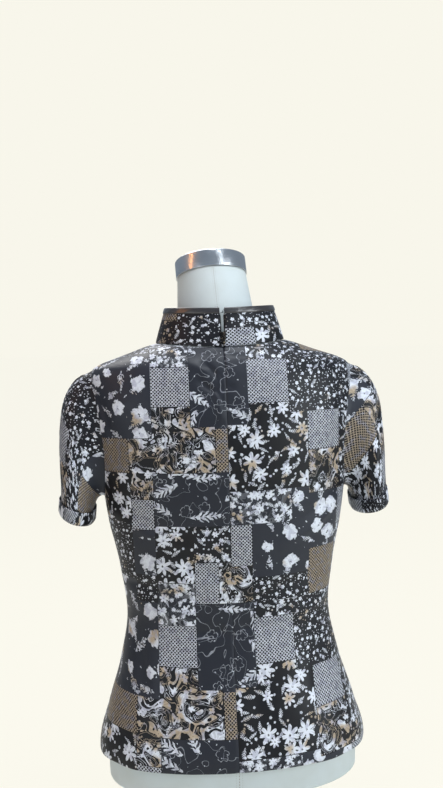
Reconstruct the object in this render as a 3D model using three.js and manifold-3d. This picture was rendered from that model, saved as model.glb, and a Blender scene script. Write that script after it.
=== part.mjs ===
// A qipao top with a stand collar and a back zip, worn by a limbless dress form on a short stand.
// Millimetres, +Z up. The front faces -Y, the centre back +Y and the wearer's left +X.
import * as THREE from 'three';
import * as BufferGeometryUtils from 'three/addons/utils/BufferGeometryUtils.js';
import Module from 'manifold-3d';

const wasm = await Module();
wasm.setup();

// Stand
const BASE_RADIUS = 150;
const BASE_THICKNESS = 15;
const POLE_RADIUS = 12;
const POLE_LENGTH = 110;

// Top and form
const TOP_LENGTH = 540; // from the high neck point to the hem
const FORM_BELOW_HEM = 40;
const FORM_BOTTOM = BASE_THICKNESS + POLE_LENGTH;
const NECK_POINT_HEIGHT = FORM_BOTTOM + FORM_BELOW_HEM + TOP_LENGTH;
const CLOTH = 1.2;
const SEAM_GAP = 0.3;

// The form's horizontal sections. Drop is measured down from the high neck point, half is the
// half width, back and front are the depths either side of the shoulder line, and square is the
// power of the superellipse.
const FIGURE = [
  { drop: -26, half: 44, back: 22, front: 16, square: 2 },
  { drop: -12, half: 62, back: 36, front: 22, square: 2 },
  { drop: 0, half: 84, back: 50, front: 30, square: 2 },
  { drop: 7, half: 105, back: 59, front: 36, square: 2 },
  { drop: 14, half: 124, back: 65, front: 42, square: 2 },
  { drop: 20, half: 141, back: 69, front: 46, square: 2 },
  { drop: 26, half: 158, back: 72, front: 50, square: 2 },
  { drop: 33, half: 171, back: 75, front: 52, square: 2 },
  { drop: 44, half: 177, back: 79, front: 59, square: 2.05 },
  { drop: 60, half: 179, back: 82, front: 68, square: 2.1 },
  { drop: 100, half: 176, back: 88, front: 84, square: 2.2 },
  { drop: 150, half: 168, back: 89, front: 103, square: 2.25 },
  { drop: 207, half: 158, back: 86, front: 119, square: 2.25 },
  { drop: 240, half: 152, back: 82, front: 123, square: 2.25 },
  { drop: 300, half: 136, back: 71, front: 104, square: 2.25 },
  { drop: 365, half: 126, back: 62, front: 86, square: 2.2 },
  { drop: 430, half: 139, back: 76, front: 87, square: 2.25 },
  { drop: 490, half: 159, back: 97, front: 92, square: 2.3 },
  { drop: 540, half: 170, back: 106, front: 94, square: 2.3 },
  { drop: 580, half: 169, back: 103, front: 92, square: 2.3 },
];

// How far the inside of the cloth stands off the form at the side, the back and the front.
const EASE = [
  { drop: -26, side: 2.2, back: 3.5, front: 3 },
  { drop: 0, side: 2.2, back: 3.5, front: 3.5 },
  { drop: 26, side: 2.8, back: 4, front: 4.5 },
  { drop: 36, side: 3.6, back: 4.5, front: 6 },
  { drop: 60, side: 3.4, back: 4.8, front: 5 },
  { drop: 120, side: 4, back: 6, front: 5 },
  { drop: 207, side: 6, back: 7, front: 6 },
  { drop: 240, side: 7, back: 8, front: 6 },
  { drop: 300, side: 10, back: 11, front: 11 },
  { drop: 365, side: 12, back: 14, front: 14 },
  { drop: 430, side: 10, back: 11, front: 12 },
  { drop: 490, side: 8, back: 8, front: 10 },
  { drop: 540, side: 10, back: 9, front: 12 },
  { drop: 580, side: 10, back: 9, front: 12 },
];

// The largest folds, each a soft ridge that runs up and down the cloth. Angle is measured from
// the centre back towards the wearer's left, and the ridge fades in from top to bottom.
const FOLDS = [
  { angle: 38, lean: 6, width: 11, height: 3.2, top: 330, bottom: 520 },
  { angle: 74, lean: -5, width: 9, height: 2.4, top: 400, bottom: 540 },
  { angle: 118, lean: 8, width: 12, height: 3.4, top: 350, bottom: 540 },
  { angle: 152, lean: -4, width: 10, height: 2.2, top: 300, bottom: 500 },
  { angle: -31, lean: -8, width: 12, height: 2.6, top: 350, bottom: 530 },
  { angle: -66, lean: 5, width: 10, height: 3.0, top: 390, bottom: 540 },
  { angle: -125, lean: -7, width: 11, height: 2.6, top: 340, bottom: 520 },
  { angle: -160, lean: 5, width: 12, height: 2.8, top: 380, bottom: 540 },
];

// Neckline and armhole, as drops on the inside of the cloth
const NECK_SIDE_DROP = 1;
const NECK_BACK_DROP = 8;
const NECK_FRONT_DROP = 61;
const NECK_BLEND = 150; // how far down the neckline bends the cloth's rows
const ARMHOLE_TOP = 33;
const ARMHOLE_BOTTOM = 207;
const ARMHOLE_BACK_BITE = THREE.MathUtils.degToRad(24);
const ARMHOLE_FRONT_BITE = THREE.MathUtils.degToRad(31);

// Sleeve
const CUFF = { across: 204, along: -7, drop: 232, halfThick: 23, halfDeep: 62, tilt: -9 };
const SLEEVE_SEAM = 0.5;
const SLEEVE_SLOPE = 0.36; // of the shoulder, which the sleeve's head carries on
const SLEEVE_FLOW = 0.36; // the share of its length over which it leaves the armhole
const SLEEVE_COLUMNS = 28;
const SLEEVE_ROWS = 7;

// Collar
const COLLAR_WALL = 1.6;
const COLLAR_LIFT = 0.4; // above the neckline's edge
const COLLAR_TOP = { half: 75, back: 54, front: 69, backRise: 44, sideRise: 47, frontRise: -17 };
const COLLAR_OPENING = { closed: 0.35, half: 3.2, from: 0, to: 12 }; // rises from the neck point
const COLLAR_COLUMNS = 36;
const COLLAR_ROWS = 4;
const BINDING = { wall: 0.8, drop: 7.5, gap: 0.3 };

// Zip
const TAPE = { wall: 1, width: 11, behind: 0.5, proud: 1.2, end: 405, top: 35.5 };
const SLIDER_RISE = 6.8; // above the high neck point
const SLIDER = { half: 3.9, up: 5, down: 5, wall: 1.2, gap: 0.3, web: 0.9 };
const BRIDGE = { half: 0.9, up: 5.2, down: 4.2, bar: 1, reach: 3.7 };
const PULL = { pivotOut: 2.7, pivotUp: 1.5, bar: 0.6, thick: 1, length: 14, tip: 2.9, window: 7.4 };

// Hook and eye, in the collar's own directions: across, rise above the neck point, and out
const WIRE_RADIUS = 0.4;
const EYE = { across: -3.6, rise: 40, out: -3.6, radius: 2.4 };
const HOOK_ROUTE = [
  { across: 9, rise: 36.4, out: -3.45 },
  { across: 4.2, rise: 37.4, out: -3.45 },
  { across: 1.4, rise: 38.4, out: -3.6 },
  { across: -0.9, rise: 39.4, out: -4.6 },
  { across: -2.2, rise: 39.9, out: -4.6 },
  { across: -2.6, rise: 40, out: -3.5 },
  { across: -2.4, rise: 40.1, out: -2.5 },
];

// Neck and cap, along the neck's own line
const NECK_ROOT = { across: 1, along: -2, rise: -20 };
const NECK_LEAN = THREE.MathUtils.degToRad(15);
const NECK_SIDE_LEAN = THREE.MathUtils.degToRad(3);
const NECK_FLATNESS = 0.96;
const NECK_PROFILE = [
  { up: -30, radius: 62 },
  { up: 0, radius: 58.5 },
  { up: 20, radius: 56.5 },
  { up: 50, radius: 54.5 },
  { up: 85, radius: 51.5 },
  { up: 116, radius: 49 },
];
const CAP = { radius: 50.5, height: 25, edge: 1.5, dome: 0.8 };

const FORM_COLUMNS = 44;
const FORM_DROPS = [-26, -12, -4, 0, 5, 10, 15, 20, 26, 33, 38, 44, 52, 60, 80, 100, 125, 150, 178,
  207, 240, 270, 300, 332, 365, 398, 430, 460, 490, 515, 540, 562, 580];

const PANEL_COLUMNS = 9;
const SHOULDER_DROPS = [NECK_SIDE_DROP, 5, 10, 15, 20, 26];
const ARMHOLE_STEPS = 11;
const SKIRT_DROPS = [225, 243, 265, 290, 315, 340, 365, 390, 415, 440, 465, 490, 515, 540];

const LINEN = { color: 0xd9cdb9, roughness: 0.9, metalness: 0 };
const PRINT = { color: 0x3b3d4a, roughness: 0.42, metalness: 0 };
const SATIN = { color: 0x15151b, roughness: 0.3, metalness: 0 };
const TAPE_CLOTH = { color: 0x101012, roughness: 0.8, metalness: 0 };
const BLACK_METAL = { color: 0x1b1a19, roughness: 0.3, metalness: 0.8 };
const BRUSHED_METAL = { color: 0xb9b4ac, roughness: 0.35, metalness: 1 };

const garment = new THREE.Group();

function addMesh(name, geometry, finish, parent = garment) {
  const mesh = new THREE.Mesh(geometry, new THREE.MeshStandardMaterial(finish));
  mesh.name = name;
  parent.add(mesh);
  return mesh;
}

// The slopes of a smooth curve through the rows that never overshoots them.
function gentleSlope(before, here, after, column) {
  const left = (here[column] - before[column]) / (here.drop - before.drop);
  const right = (after[column] - here[column]) / (after.drop - here.drop);
  return left * right <= 0 ? 0 : (2 * left * right) / (left + right);
}

function slopeAt(table, index, column) {
  const first = Math.max(index - 1, 0);
  const last = Math.min(index + 1, table.length - 1);
  if (index === first || index === last) {
    return (table[last][column] - table[first][column]) / (table[last].drop - table[first].drop);
  }
  return gentleSlope(table[first], table[index], table[last], column);
}

function lookUp(table, column, drop) {
  const inside = THREE.MathUtils.clamp(drop, table[0].drop, table[table.length - 1].drop);
  let row = 0;
  while (row < table.length - 2 && table[row + 1].drop < inside) row += 1;
  const step = table[row + 1].drop - table[row].drop;
  const t = (inside - table[row].drop) / step;
  const startSlope = slopeAt(table, row, column) * step;
  const endSlope = slopeAt(table, row + 1, column) * step;
  return (2 * t ** 3 - 3 * t ** 2 + 1) * table[row][column]
    + (t ** 3 - 2 * t ** 2 + t) * startSlope
    + (3 * t ** 2 - 2 * t ** 3) * table[row + 1][column]
    + (t ** 3 - t ** 2) * endSlope;
}

function signedPower(value, power) {
  return Math.sign(value) * Math.abs(value) ** power;
}

function ringPoint(half, back, front, square, angle, height) {
  const depth = Math.cos(angle) > 0 ? back : front;
  const x = half * signedPower(Math.sin(angle), 2 / square);
  const y = depth * signedPower(Math.cos(angle), 2 / square);
  return new THREE.Vector3(x, y, height);
}

function formPoint(angle, drop) {
  const size = (column) => lookUp(FIGURE, column, drop);
  const height = NECK_POINT_HEIGHT - drop;
  return ringPoint(size('half'), size('back'), size('front'), size('square'), angle, height);
}

function foldHeight(angle, drop) {
  let height = 0;
  for (const fold of FOLDS) {
    const along = THREE.MathUtils.smoothstep(drop, fold.top, fold.bottom);
    const middle = fold.angle + fold.lean * along;
    const away = THREE.MathUtils.radToDeg(angle) - middle;
    const turned = THREE.MathUtils.euclideanModulo(away + 180, 360) - 180;
    height += fold.height * along * Math.exp(-((turned / fold.width) ** 2));
  }
  return height;
}

function clothHalf(drop) {
  return lookUp(FIGURE, 'half', drop) + lookUp(EASE, 'side', drop);
}

// The inside of the cloth.
function clothPoint(angle, drop) {
  const size = (column) => lookUp(FIGURE, column, drop);
  const ease = (column) => lookUp(EASE, column, drop);
  const fold = foldHeight(angle, drop);
  const back = size('back') + ease('back') + fold;
  const front = size('front') + ease('front') + fold;
  const height = NECK_POINT_HEIGHT - drop;
  return ringPoint(clothHalf(drop) + fold, back, front, size('square'), angle, height);
}

function normalOf(point, u, v, step = 0.01) {
  const alongU = point(u + step, v).sub(point(u - step, v));
  const alongV = point(u, v + step).sub(point(u, v - step));
  return alongU.cross(alongV).normalize();
}

function clothNormal(angle, drop) {
  const alongRing = clothPoint(angle + 0.02, drop).sub(clothPoint(angle - 0.02, drop));
  const downward = clothPoint(angle, drop + 0.5).sub(clothPoint(angle, drop - 0.5));
  return alongRing.cross(downward).normalize();
}

// Where a share of the way round from the centre line meets the neckline.
function necklinePlace(share, centreDrop) {
  const turn = share * Math.PI / 2;
  const drop = NECK_SIDE_DROP + (centreDrop - NECK_SIDE_DROP) * Math.cos(turn) ** 2;
  const across = clothHalf(NECK_SIDE_DROP) * Math.sin(turn) / clothHalf(drop);
  const square = lookUp(FIGURE, 'square', drop);
  return { drop, angle: Math.asin(Math.min(across, 1) ** (square / 2)) };
}

function edgeAngle(drop, bite) {
  const middle = (ARMHOLE_TOP + ARMHOLE_BOTTOM) / 2;
  const reach = (ARMHOLE_BOTTOM - ARMHOLE_TOP) / 2;
  const level = Math.min(Math.abs(drop - middle) / reach, 1);
  return Math.PI / 2 - bite * Math.sqrt(1 - level ** 2);
}

function panelPlace(share, row, face) {
  const neck = necklinePlace(share, face.neckDrop);
  const pull = Math.max(1 - (row - NECK_SIDE_DROP) / (NECK_BLEND - NECK_SIDE_DROP), 0);
  const fromCentre = share * edgeAngle(row, face.bite) + pull * (neck.angle - share * Math.PI / 2);
  return { fromCentre, drop: row + pull * (neck.drop - NECK_SIDE_DROP) };
}

const BACK_FACE = { neckDrop: NECK_BACK_DROP, bite: ARMHOLE_BACK_BITE, turn: (angle) => angle };
const FRONT_FACE = {
  neckDrop: NECK_FRONT_DROP,
  bite: ARMHOLE_FRONT_BITE,
  turn: (angle) => Math.PI - angle,
};

function panelRows() {
  const middle = (ARMHOLE_TOP + ARMHOLE_BOTTOM) / 2;
  const reach = (ARMHOLE_BOTTOM - ARMHOLE_TOP) / 2;
  const armhole = [];
  for (let step = 0; step <= ARMHOLE_STEPS; step += 1) {
    armhole.push(middle - reach * Math.cos(Math.PI * step / ARMHOLE_STEPS));
  }
  return [...SHOULDER_DROPS, ...armhole, ...SKIRT_DROPS];
}

function panelShares(from, to) {
  const shares = [];
  const columns = Math.round((to - from) * PANEL_COLUMNS);
  for (let column = 0; column <= columns; column += 1) {
    shares.push(from + (to - from) * column / columns);
  }
  return shares;
}

// A grid holds, for each row and column, a point on one side of the wall and its normal.
function panelGrid(face, from, to) {
  return panelRows().map((row) => panelShares(from, to).map((share) => {
    const place = panelPlace(Math.abs(share), row, face);
    const angle = face.turn(Math.sign(share) * place.fromCentre);
    return { point: clothPoint(angle, place.drop), normal: clothNormal(angle, place.drop) };
  }));
}

// Draws the two side edges in, so that a seam has its gap.
function openSeams(grid) {
  for (const row of grid) {
    const last = row.length - 1;
    const leftward = row[1].point.clone().sub(row[0].point).setLength(SEAM_GAP / 2);
    const rightward = row[last - 1].point.clone().sub(row[last].point).setLength(SEAM_GAP / 2);
    row[0].point.add(leftward);
    row[last].point.add(rightward);
  }
  return grid;
}

function orientOutward(positions, faces) {
  let volume = 0;
  for (const [a, b, c] of faces) {
    volume += positions[a].dot(positions[b].clone().cross(positions[c]));
  }
  return volume > 0 ? faces : faces.map(([a, b, c]) => [a, c, b]);
}

function solidGeometry(positions, faces) {
  const geometry = new THREE.BufferGeometry();
  const flat = positions.flatMap((point) => [point.x, point.y, point.z]);
  geometry.setAttribute('position', new THREE.Float32BufferAttribute(flat, 3));
  geometry.setIndex(orientOutward(positions, faces).flat());
  return geometry;
}

// Joins rings of points, each with the same count, into a tube of quads. An open tube has its
// first and last ring filled.
function skinRings(rings, caps = null) {
  const count = rings[0].length;
  const faces = [];
  const bands = caps ? rings.length - 1 : rings.length;
  for (let band = 0; band < bands; band += 1) {
    const next = (band + 1) % rings.length;
    for (let step = 0; step < count; step += 1) {
      const a = band * count + step;
      const b = band * count + (step + 1) % count;
      const c = next * count + (step + 1) % count;
      const d = next * count + step;
      faces.push([a, b, c], [a, c, d]);
    }
  }
  if (caps) {
    const last = (rings.length - 1) * count;
    for (const [a, b, c] of caps) {
      faces.push([a, c, b], [last + a, last + b, last + c]);
    }
  }
  return solidGeometry(rings.flat(), faces);
}

// A wall is a tube too: each column's ring goes up the inside and down the outside.
function wallGeometry(grid, thickness, closed = false) {
  const columns = grid[0].map((_, column) => {
    const inside = grid.map((row) => row[column].point);
    const outside = grid.map((row) => (
      row[column].point.clone().addScaledVector(row[column].normal, thickness)
    ));
    return [...inside, ...outside.reverse()];
  });
  if (closed) return skinRings(columns);
  const rows = grid.length;
  const caps = [];
  for (let row = 0; row < rows - 1; row += 1) {
    const across = 2 * rows - 1 - row;
    caps.push([row, row + 1, across], [row + 1, across - 1, across]);
  }
  return skinRings(columns, caps);
}

function ringStack(drops, columns, point) {
  const rings = drops.map((drop) => {
    const ring = [];
    for (let column = 0; column < columns; column += 1) {
      ring.push(point(2 * Math.PI * column / columns, drop));
    }
    return ring;
  });
  const caps = [];
  for (let column = 1; column < columns - 1; column += 1) caps.push([0, column, column + 1]);
  return skinRings(rings, caps);
}

function toManifold(geometry) {
  const bare = geometry.clone();
  bare.deleteAttribute('normal');
  bare.deleteAttribute('uv');
  const merged = BufferGeometryUtils.mergeVertices(bare);
  return new wasm.Manifold(new wasm.Mesh({
    numProp: 3,
    vertProperties: new Float32Array(merged.attributes.position.array),
    triVerts: new Uint32Array(merged.index.array),
  }));
}

function fromManifold(solid) {
  const mesh = solid.getMesh();
  const geometry = new THREE.BufferGeometry();
  geometry.setAttribute('position', new THREE.BufferAttribute(mesh.vertProperties, 3));
  geometry.setIndex(new THREE.BufferAttribute(mesh.triVerts, 1));
  return geometry;
}

function lathe(profile, segments) {
  const geometry = new THREE.LatheGeometry(profile.map(([r, y]) => new THREE.Vector2(r, y)), segments);
  return geometry.rotateX(Math.PI / 2);
}

function onNeckLine(geometry) {
  geometry.rotateX(NECK_LEAN);
  geometry.rotateY(NECK_SIDE_LEAN);
  return geometry.translate(NECK_ROOT.across, NECK_ROOT.along, NECK_POINT_HEIGHT + NECK_ROOT.rise);
}

function neckGeometry() {
  const profile = NECK_PROFILE.map((row) => [row.radius, row.up]);
  const top = NECK_PROFILE[NECK_PROFILE.length - 1].up;
  const neck = lathe([[0, NECK_PROFILE[0].up], ...profile, [0, top]], FORM_COLUMNS);
  return onNeckLine(neck.scale(1, NECK_FLATNESS, 1));
}

function formGeometry() {
  const torso = ringStack(FORM_DROPS, FORM_COLUMNS, formPoint);
  return fromManifold(toManifold(torso).add(toManifold(neckGeometry())));
}

function capGeometry() {
  const bottom = NECK_PROFILE[NECK_PROFILE.length - 1].up + SEAM_GAP;
  const top = bottom + CAP.height;
  const flat = CAP.radius - CAP.edge;
  const cap = lathe([
    [0, bottom],
    [CAP.radius, bottom],
    [CAP.radius, top - CAP.edge],
    [flat, top],
    [0, top + CAP.dome],
  ], FORM_COLUMNS);
  return onNeckLine(cap.scale(1, NECK_FLATNESS, 1));
}

function addForm() {
  addMesh('form_torso', formGeometry(), LINEN);
  addMesh('neck_cap', capGeometry(), BRUSHED_METAL);
  const pole = new THREE.CylinderGeometry(POLE_RADIUS, POLE_RADIUS, POLE_LENGTH, 24);
  pole.rotateX(Math.PI / 2).translate(0, 0, BASE_THICKNESS + POLE_LENGTH / 2);
  addMesh('stand_pole', pole, BRUSHED_METAL);
  const edge = 3;
  const base = lathe([
    [0, 0],
    [BASE_RADIUS, 0],
    [BASE_RADIUS, BASE_THICKNESS - edge],
    [BASE_RADIUS - edge, BASE_THICKNESS],
    [0, BASE_THICKNESS],
  ], 64);
  addMesh('stand_base', base, BRUSHED_METAL);
}

function addPanels() {
  const panels = [
    { name: 'back_left', face: BACK_FACE, from: 0, to: 1 },
    { name: 'back_right', face: BACK_FACE, from: -1, to: 0 },
    { name: 'front', face: FRONT_FACE, from: -1, to: 1 },
  ];
  for (const panel of panels) {
    const grid = openSeams(panelGrid(panel.face, panel.from, panel.to));
    addMesh(panel.name, wallGeometry(grid, CLOTH), PRINT);
  }
}

// A place on the left armhole: turn 0 is the shoulder, a half turn the underarm, and the first
// half turn goes down the back.
function armholePlace(turn) {
  const middle = (ARMHOLE_TOP + ARMHOLE_BOTTOM) / 2;
  const reach = (ARMHOLE_BOTTOM - ARMHOLE_TOP) / 2;
  const bite = Math.sin(turn) > 0 ? ARMHOLE_BACK_BITE : ARMHOLE_FRONT_BITE;
  return { angle: Math.PI / 2 - bite * Math.sin(turn), drop: middle - reach * Math.cos(turn) };
}

// The sleeve leaves along the shoulder's slope at the top and straight out under the arm,
// and starts just beyond the panels' edge.
function sleeveStart(turn) {
  const here = armholePlace(turn);
  const before = armholePlace(turn - 0.02);
  const after = armholePlace(turn + 0.02);
  const normal = clothNormal(here.angle, here.drop);
  const along = clothPoint(after.angle, after.drop).sub(clothPoint(before.angle, before.drop));
  const across = along.cross(normal).normalize();
  const outward = new THREE.Vector3(1, 0, -SLEEVE_SLOPE * Math.cos(turn / 2) ** 2);
  const bend = Math.min(Math.atan2(outward.dot(normal), outward.dot(across)), Math.PI / 2);
  const direction = across.multiplyScalar(Math.cos(bend)).addScaledVector(normal, Math.sin(bend));
  const clear = CLOTH * Math.sin(bend) + SLEEVE_SEAM;
  const point = clothPoint(here.angle, here.drop).addScaledVector(direction, clear);
  return { point, direction };
}

function cuffPoint(turn) {
  const x = CUFF.across + CUFF.halfThick * Math.cos(turn);
  const y = CUFF.along + CUFF.halfDeep * Math.sin(turn);
  return new THREE.Vector3(x, y, NECK_POINT_HEIGHT - CUFF.drop - CUFF.tilt * Math.cos(turn));
}

function sleevePoint(turn, share) {
  const start = sleeveStart(turn);
  const end = cuffPoint(turn);
  const reach = start.point.distanceTo(end) * SLEEVE_FLOW;
  const leaving = start.point.clone().addScaledVector(start.direction, reach);
  const arriving = end.clone().add(new THREE.Vector3(-0.1 * reach, 0, reach));
  return new THREE.CubicBezierCurve3(start.point, leaving, arriving, end).getPoint(share);
}

function sleeveGrid() {
  const grid = [];
  for (let row = 0; row <= SLEEVE_ROWS; row += 1) {
    const share = row / SLEEVE_ROWS;
    const around = [];
    for (let column = 0; column < SLEEVE_COLUMNS; column += 1) {
      const turn = 2 * Math.PI * column / SLEEVE_COLUMNS;
      const inside = THREE.MathUtils.clamp(share, 0.01, 0.99);
      around.push({ point: sleevePoint(turn, share), normal: normalOf(sleevePoint, turn, inside) });
    }
    grid.push(around);
  }
  return grid;
}

function mirrored(grid) {
  const flip = (vector) => new THREE.Vector3(-vector.x, vector.y, vector.z);
  return grid.map((row) => row.map((spot) => ({ point: flip(spot.point), normal: flip(spot.normal) })));
}

function addSleeves() {
  const left = sleeveGrid();
  addMesh('sleeve_left', wallGeometry(left, CLOTH, true), PRINT);
  addMesh('sleeve_right', wallGeometry(mirrored(left), CLOTH, true), PRINT);
}

// The collar's outer face. Turn goes round from the centre back through the wearer's left side,
// and share goes from the neckline to the top.
function collarFoot(turn) {
  const back = Math.cos(turn) > 0;
  const share = Math.asin(Math.min(Math.abs(Math.sin(turn)), 1)) / (Math.PI / 2);
  const place = necklinePlace(share, back ? NECK_BACK_DROP : NECK_FRONT_DROP);
  const side = Math.sin(turn) < 0 ? -1 : 1;
  const angle = side * (back ? place.angle : Math.PI - place.angle);
  const foot = clothPoint(angle, place.drop).addScaledVector(clothNormal(angle, place.drop), CLOTH);
  return foot.add(new THREE.Vector3(0, 0, COLLAR_LIFT));
}

function collarHead(turn) {
  const cos = Math.cos(turn);
  const depth = cos > 0 ? COLLAR_TOP.back : COLLAR_TOP.front;
  const centreRise = cos > 0 ? COLLAR_TOP.backRise : COLLAR_TOP.frontRise;
  const rise = COLLAR_TOP.sideRise + (centreRise - COLLAR_TOP.sideRise) * cos ** 2;
  return new THREE.Vector3(COLLAR_TOP.half * Math.sin(turn), depth * cos, NECK_POINT_HEIGHT + rise);
}

function collarPoint(turn, share) {
  return collarFoot(turn).lerp(collarHead(turn), share);
}

function collarNormal(turn, share) {
  return normalOf(collarPoint, turn, share).multiplyScalar(-1);
}

function openingHalf(rise) {
  const { closed, half, from, to } = COLLAR_OPENING;
  return THREE.MathUtils.mapLinear(THREE.MathUtils.clamp(rise, from, to), from, to, closed, half);
}

// The turn at which the collar's face is so far across from the centre back.
function collarTurn(across, share) {
  let turn = across / COLLAR_TOP.half;
  for (let pass = 0; pass < 4; pass += 1) {
    turn *= across / collarPoint(turn, share).x;
  }
  return turn;
}

function shareAtRise(rise) {
  const foot = collarFoot(0).z - NECK_POINT_HEIGHT;
  return (rise - foot) / (COLLAR_TOP.backRise - foot);
}

function riseAtShare(share) {
  return collarPoint(0, share).z - NECK_POINT_HEIGHT;
}

// Turns spread round the collar from one side of the opening to the other.
function collarTurns(share) {
  const start = collarTurn(openingHalf(riseAtShare(share)), share);
  const turns = [];
  for (let column = 0; column <= COLLAR_COLUMNS; column += 1) {
    turns.push(THREE.MathUtils.lerp(start, 2 * Math.PI - start, column / COLLAR_COLUMNS));
  }
  return turns;
}

function collarGrid() {
  const grid = [];
  for (let row = 0; row <= COLLAR_ROWS; row += 1) {
    const share = row / COLLAR_ROWS;
    grid.push(collarTurns(share).map((turn) => (
      { point: collarPoint(turn, share), normal: collarNormal(turn, share) }
    )));
  }
  return grid;
}

// A point off the collar's outer face: out along its normal, up along its own slope.
function offCollar(turn, out, up) {
  const normal = collarNormal(turn, 1);
  const slope = collarHead(turn).sub(collarFoot(turn)).normalize();
  return collarHead(turn).addScaledVector(normal, out).addScaledVector(slope, up);
}

function bindingGeometry() {
  const outer = BINDING.gap + BINDING.wall;
  const inner = -COLLAR_WALL - outer;
  const section = [
    [BINDING.gap, -BINDING.drop],
    [outer, -BINDING.drop],
    [outer, outer],
    [inner, outer],
    [inner, -BINDING.drop],
    [inner + BINDING.wall, -BINDING.drop],
    [inner + BINDING.wall, BINDING.gap],
    [BINDING.gap, BINDING.gap],
  ];
  const outline = section.map(([out, up]) => new THREE.Vector2(out, up));
  const rings = collarTurns(1).map((turn) => section.map(([out, up]) => offCollar(turn, out, up)));
  return skinRings(rings, THREE.ShapeUtils.triangulateShape(outline, []));
}

function addCollar() {
  addMesh('collar', wallGeometry(collarGrid(), -COLLAR_WALL), PRINT);
  addMesh('collar_binding', bindingGeometry(), SATIN);
}

// How far back the inside of the cloth, or of the collar, is near the centre back.
function clothDepth(across, drop) {
  const square = lookUp(FIGURE, 'square', drop);
  const share = Math.min(across / clothHalf(drop), 1) ** (square / 2);
  return clothPoint(Math.asin(share), drop).y;
}

function collarDepth(across, rise) {
  const share = shareAtRise(rise);
  return collarPoint(collarTurn(Math.max(across, 0.1), share), share).y - COLLAR_WALL;
}

function tapeDepth(across, rise) {
  const foot = collarFoot(0).z - NECK_POINT_HEIGHT;
  if (rise < -NECK_BACK_DROP) return clothDepth(across, -rise);
  if (rise > foot) return Math.min(collarDepth(across, rise), clothDepth(across, NECK_BACK_DROP));
  return Math.min(collarDepth(across, foot), clothDepth(across, NECK_BACK_DROP));
}

function tapeEdge(rise) {
  return Math.max(openingHalf(rise) - TAPE.proud, rise > COLLAR_OPENING.from ? 1.25 : 0.35);
}

function tapeRises() {
  const rises = [TAPE.top, 30, 22, 16, 12, 8, 4, 1, 0, -4, -8, -12, -18];
  for (const drop of panelRows()) {
    if (drop > 24 && drop < TAPE.end - 5) rises.push(-drop);
  }
  return [...rises, -TAPE.end];
}

function tapeGrid(side) {
  const backward = new THREE.Vector3(0, -1, 0);
  return tapeRises().map((rise) => [0, 1].map((share) => {
    const across = THREE.MathUtils.lerp(tapeEdge(rise), TAPE.width, share);
    const depth = tapeDepth(across, rise) - TAPE.behind;
    const point = new THREE.Vector3(side * across, depth, NECK_POINT_HEIGHT + rise);
    return { point, normal: backward };
  }));
}

function collarLean() {
  const slope = collarHead(0).sub(collarFoot(0));
  return Math.atan2(-slope.y, slope.z);
}

// The zip's hard pieces stand in a frame that leans with the collar's face at the centre back.
function zipFrame() {
  const frame = new THREE.Group();
  frame.position.copy(collarPoint(0, shareAtRise(SLIDER_RISE)));
  frame.rotation.x = collarLean();
  garment.add(frame);
  return frame;
}

function block(halfWidth, [back, front], [bottom, top]) {
  const box = new THREE.BoxGeometry(2 * halfWidth, front - back, top - bottom);
  return box.translate(0, (back + front) / 2, (bottom + top) / 2);
}

function joined(geometries) {
  return fromManifold(geometries.map(toManifold).reduce((whole, piece) => whole.add(piece)));
}

function sliderGeometry() {
  const front = SLIDER.gap + SLIDER.wall;
  const backFace = -COLLAR_WALL - TAPE.behind - TAPE.wall - 2 * SLIDER.gap;
  const bridgeTop = front + BRIDGE.reach;
  const into = 0.4;
  return joined([
    block(SLIDER.half, [SLIDER.gap, front], [-SLIDER.down, SLIDER.up]),
    block(SLIDER.half, [backFace - SLIDER.wall, backFace], [-SLIDER.down, SLIDER.up]),
    block(SLIDER.web, [backFace - into, SLIDER.gap + into], [-1, SLIDER.up]),
    block(BRIDGE.half, [front - into, bridgeTop], [BRIDGE.up - BRIDGE.bar - 0.4, SLIDER.up - 0.2]),
    block(BRIDGE.half, [front - into, bridgeTop], [-BRIDGE.down, BRIDGE.bar - BRIDGE.down]),
    block(BRIDGE.half, [bridgeTop - BRIDGE.bar, bridgeTop], [-BRIDGE.down, SLIDER.up - 0.2]),
  ]);
}

// A teardrop plate with a window round the bridge. Its top bar is the pivot.
function pullGeometry() {
  const shoulder = BRIDGE.half + 0.4 + 1.1;
  const waist = -PULL.window - 0.8;
  const low = PULL.tip - PULL.length;
  const outline = new THREE.Shape();
  outline.moveTo(-shoulder, PULL.bar);
  outline.lineTo(-shoulder, waist);
  outline.absarc(0, low, PULL.tip, Math.PI, 2 * Math.PI, false);
  outline.lineTo(shoulder, waist);
  outline.lineTo(shoulder, PULL.bar);
  const window = new THREE.Path();
  const half = BRIDGE.half + 0.4;
  window.moveTo(-half, -PULL.bar);
  window.lineTo(half, -PULL.bar);
  window.lineTo(half, -PULL.window);
  window.lineTo(-half, -PULL.window);
  outline.holes.push(window);
  const plate = new THREE.ExtrudeGeometry(outline, {
    depth: PULL.thick, bevelEnabled: false, curveSegments: 10,
  });
  return plate.rotateX(Math.PI / 2).translate(0, PULL.thick / 2, 0);
}

function addZip() {
  addMesh('zip_tape_left', wallGeometry(tapeGrid(1), TAPE.wall), TAPE_CLOTH);
  addMesh('zip_tape_right', wallGeometry(tapeGrid(-1), TAPE.wall), TAPE_CLOTH);
  const frame = zipFrame();
  addMesh('zip_slider', sliderGeometry(), BLACK_METAL, frame);
  const pull = addMesh('zip_pull', pullGeometry(), BLACK_METAL, frame);
  pull.position.set(0, PULL.pivotOut, PULL.pivotUp);
}

// A point in the collar's own directions near the centre back.
function byCollar({ across, rise, out }) {
  const share = shareAtRise(rise);
  const turn = across === 0 ? 0 : collarTurn(Math.abs(across), share) * Math.sign(across);
  return collarPoint(turn, share).addScaledVector(collarNormal(turn, share), out);
}

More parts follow.
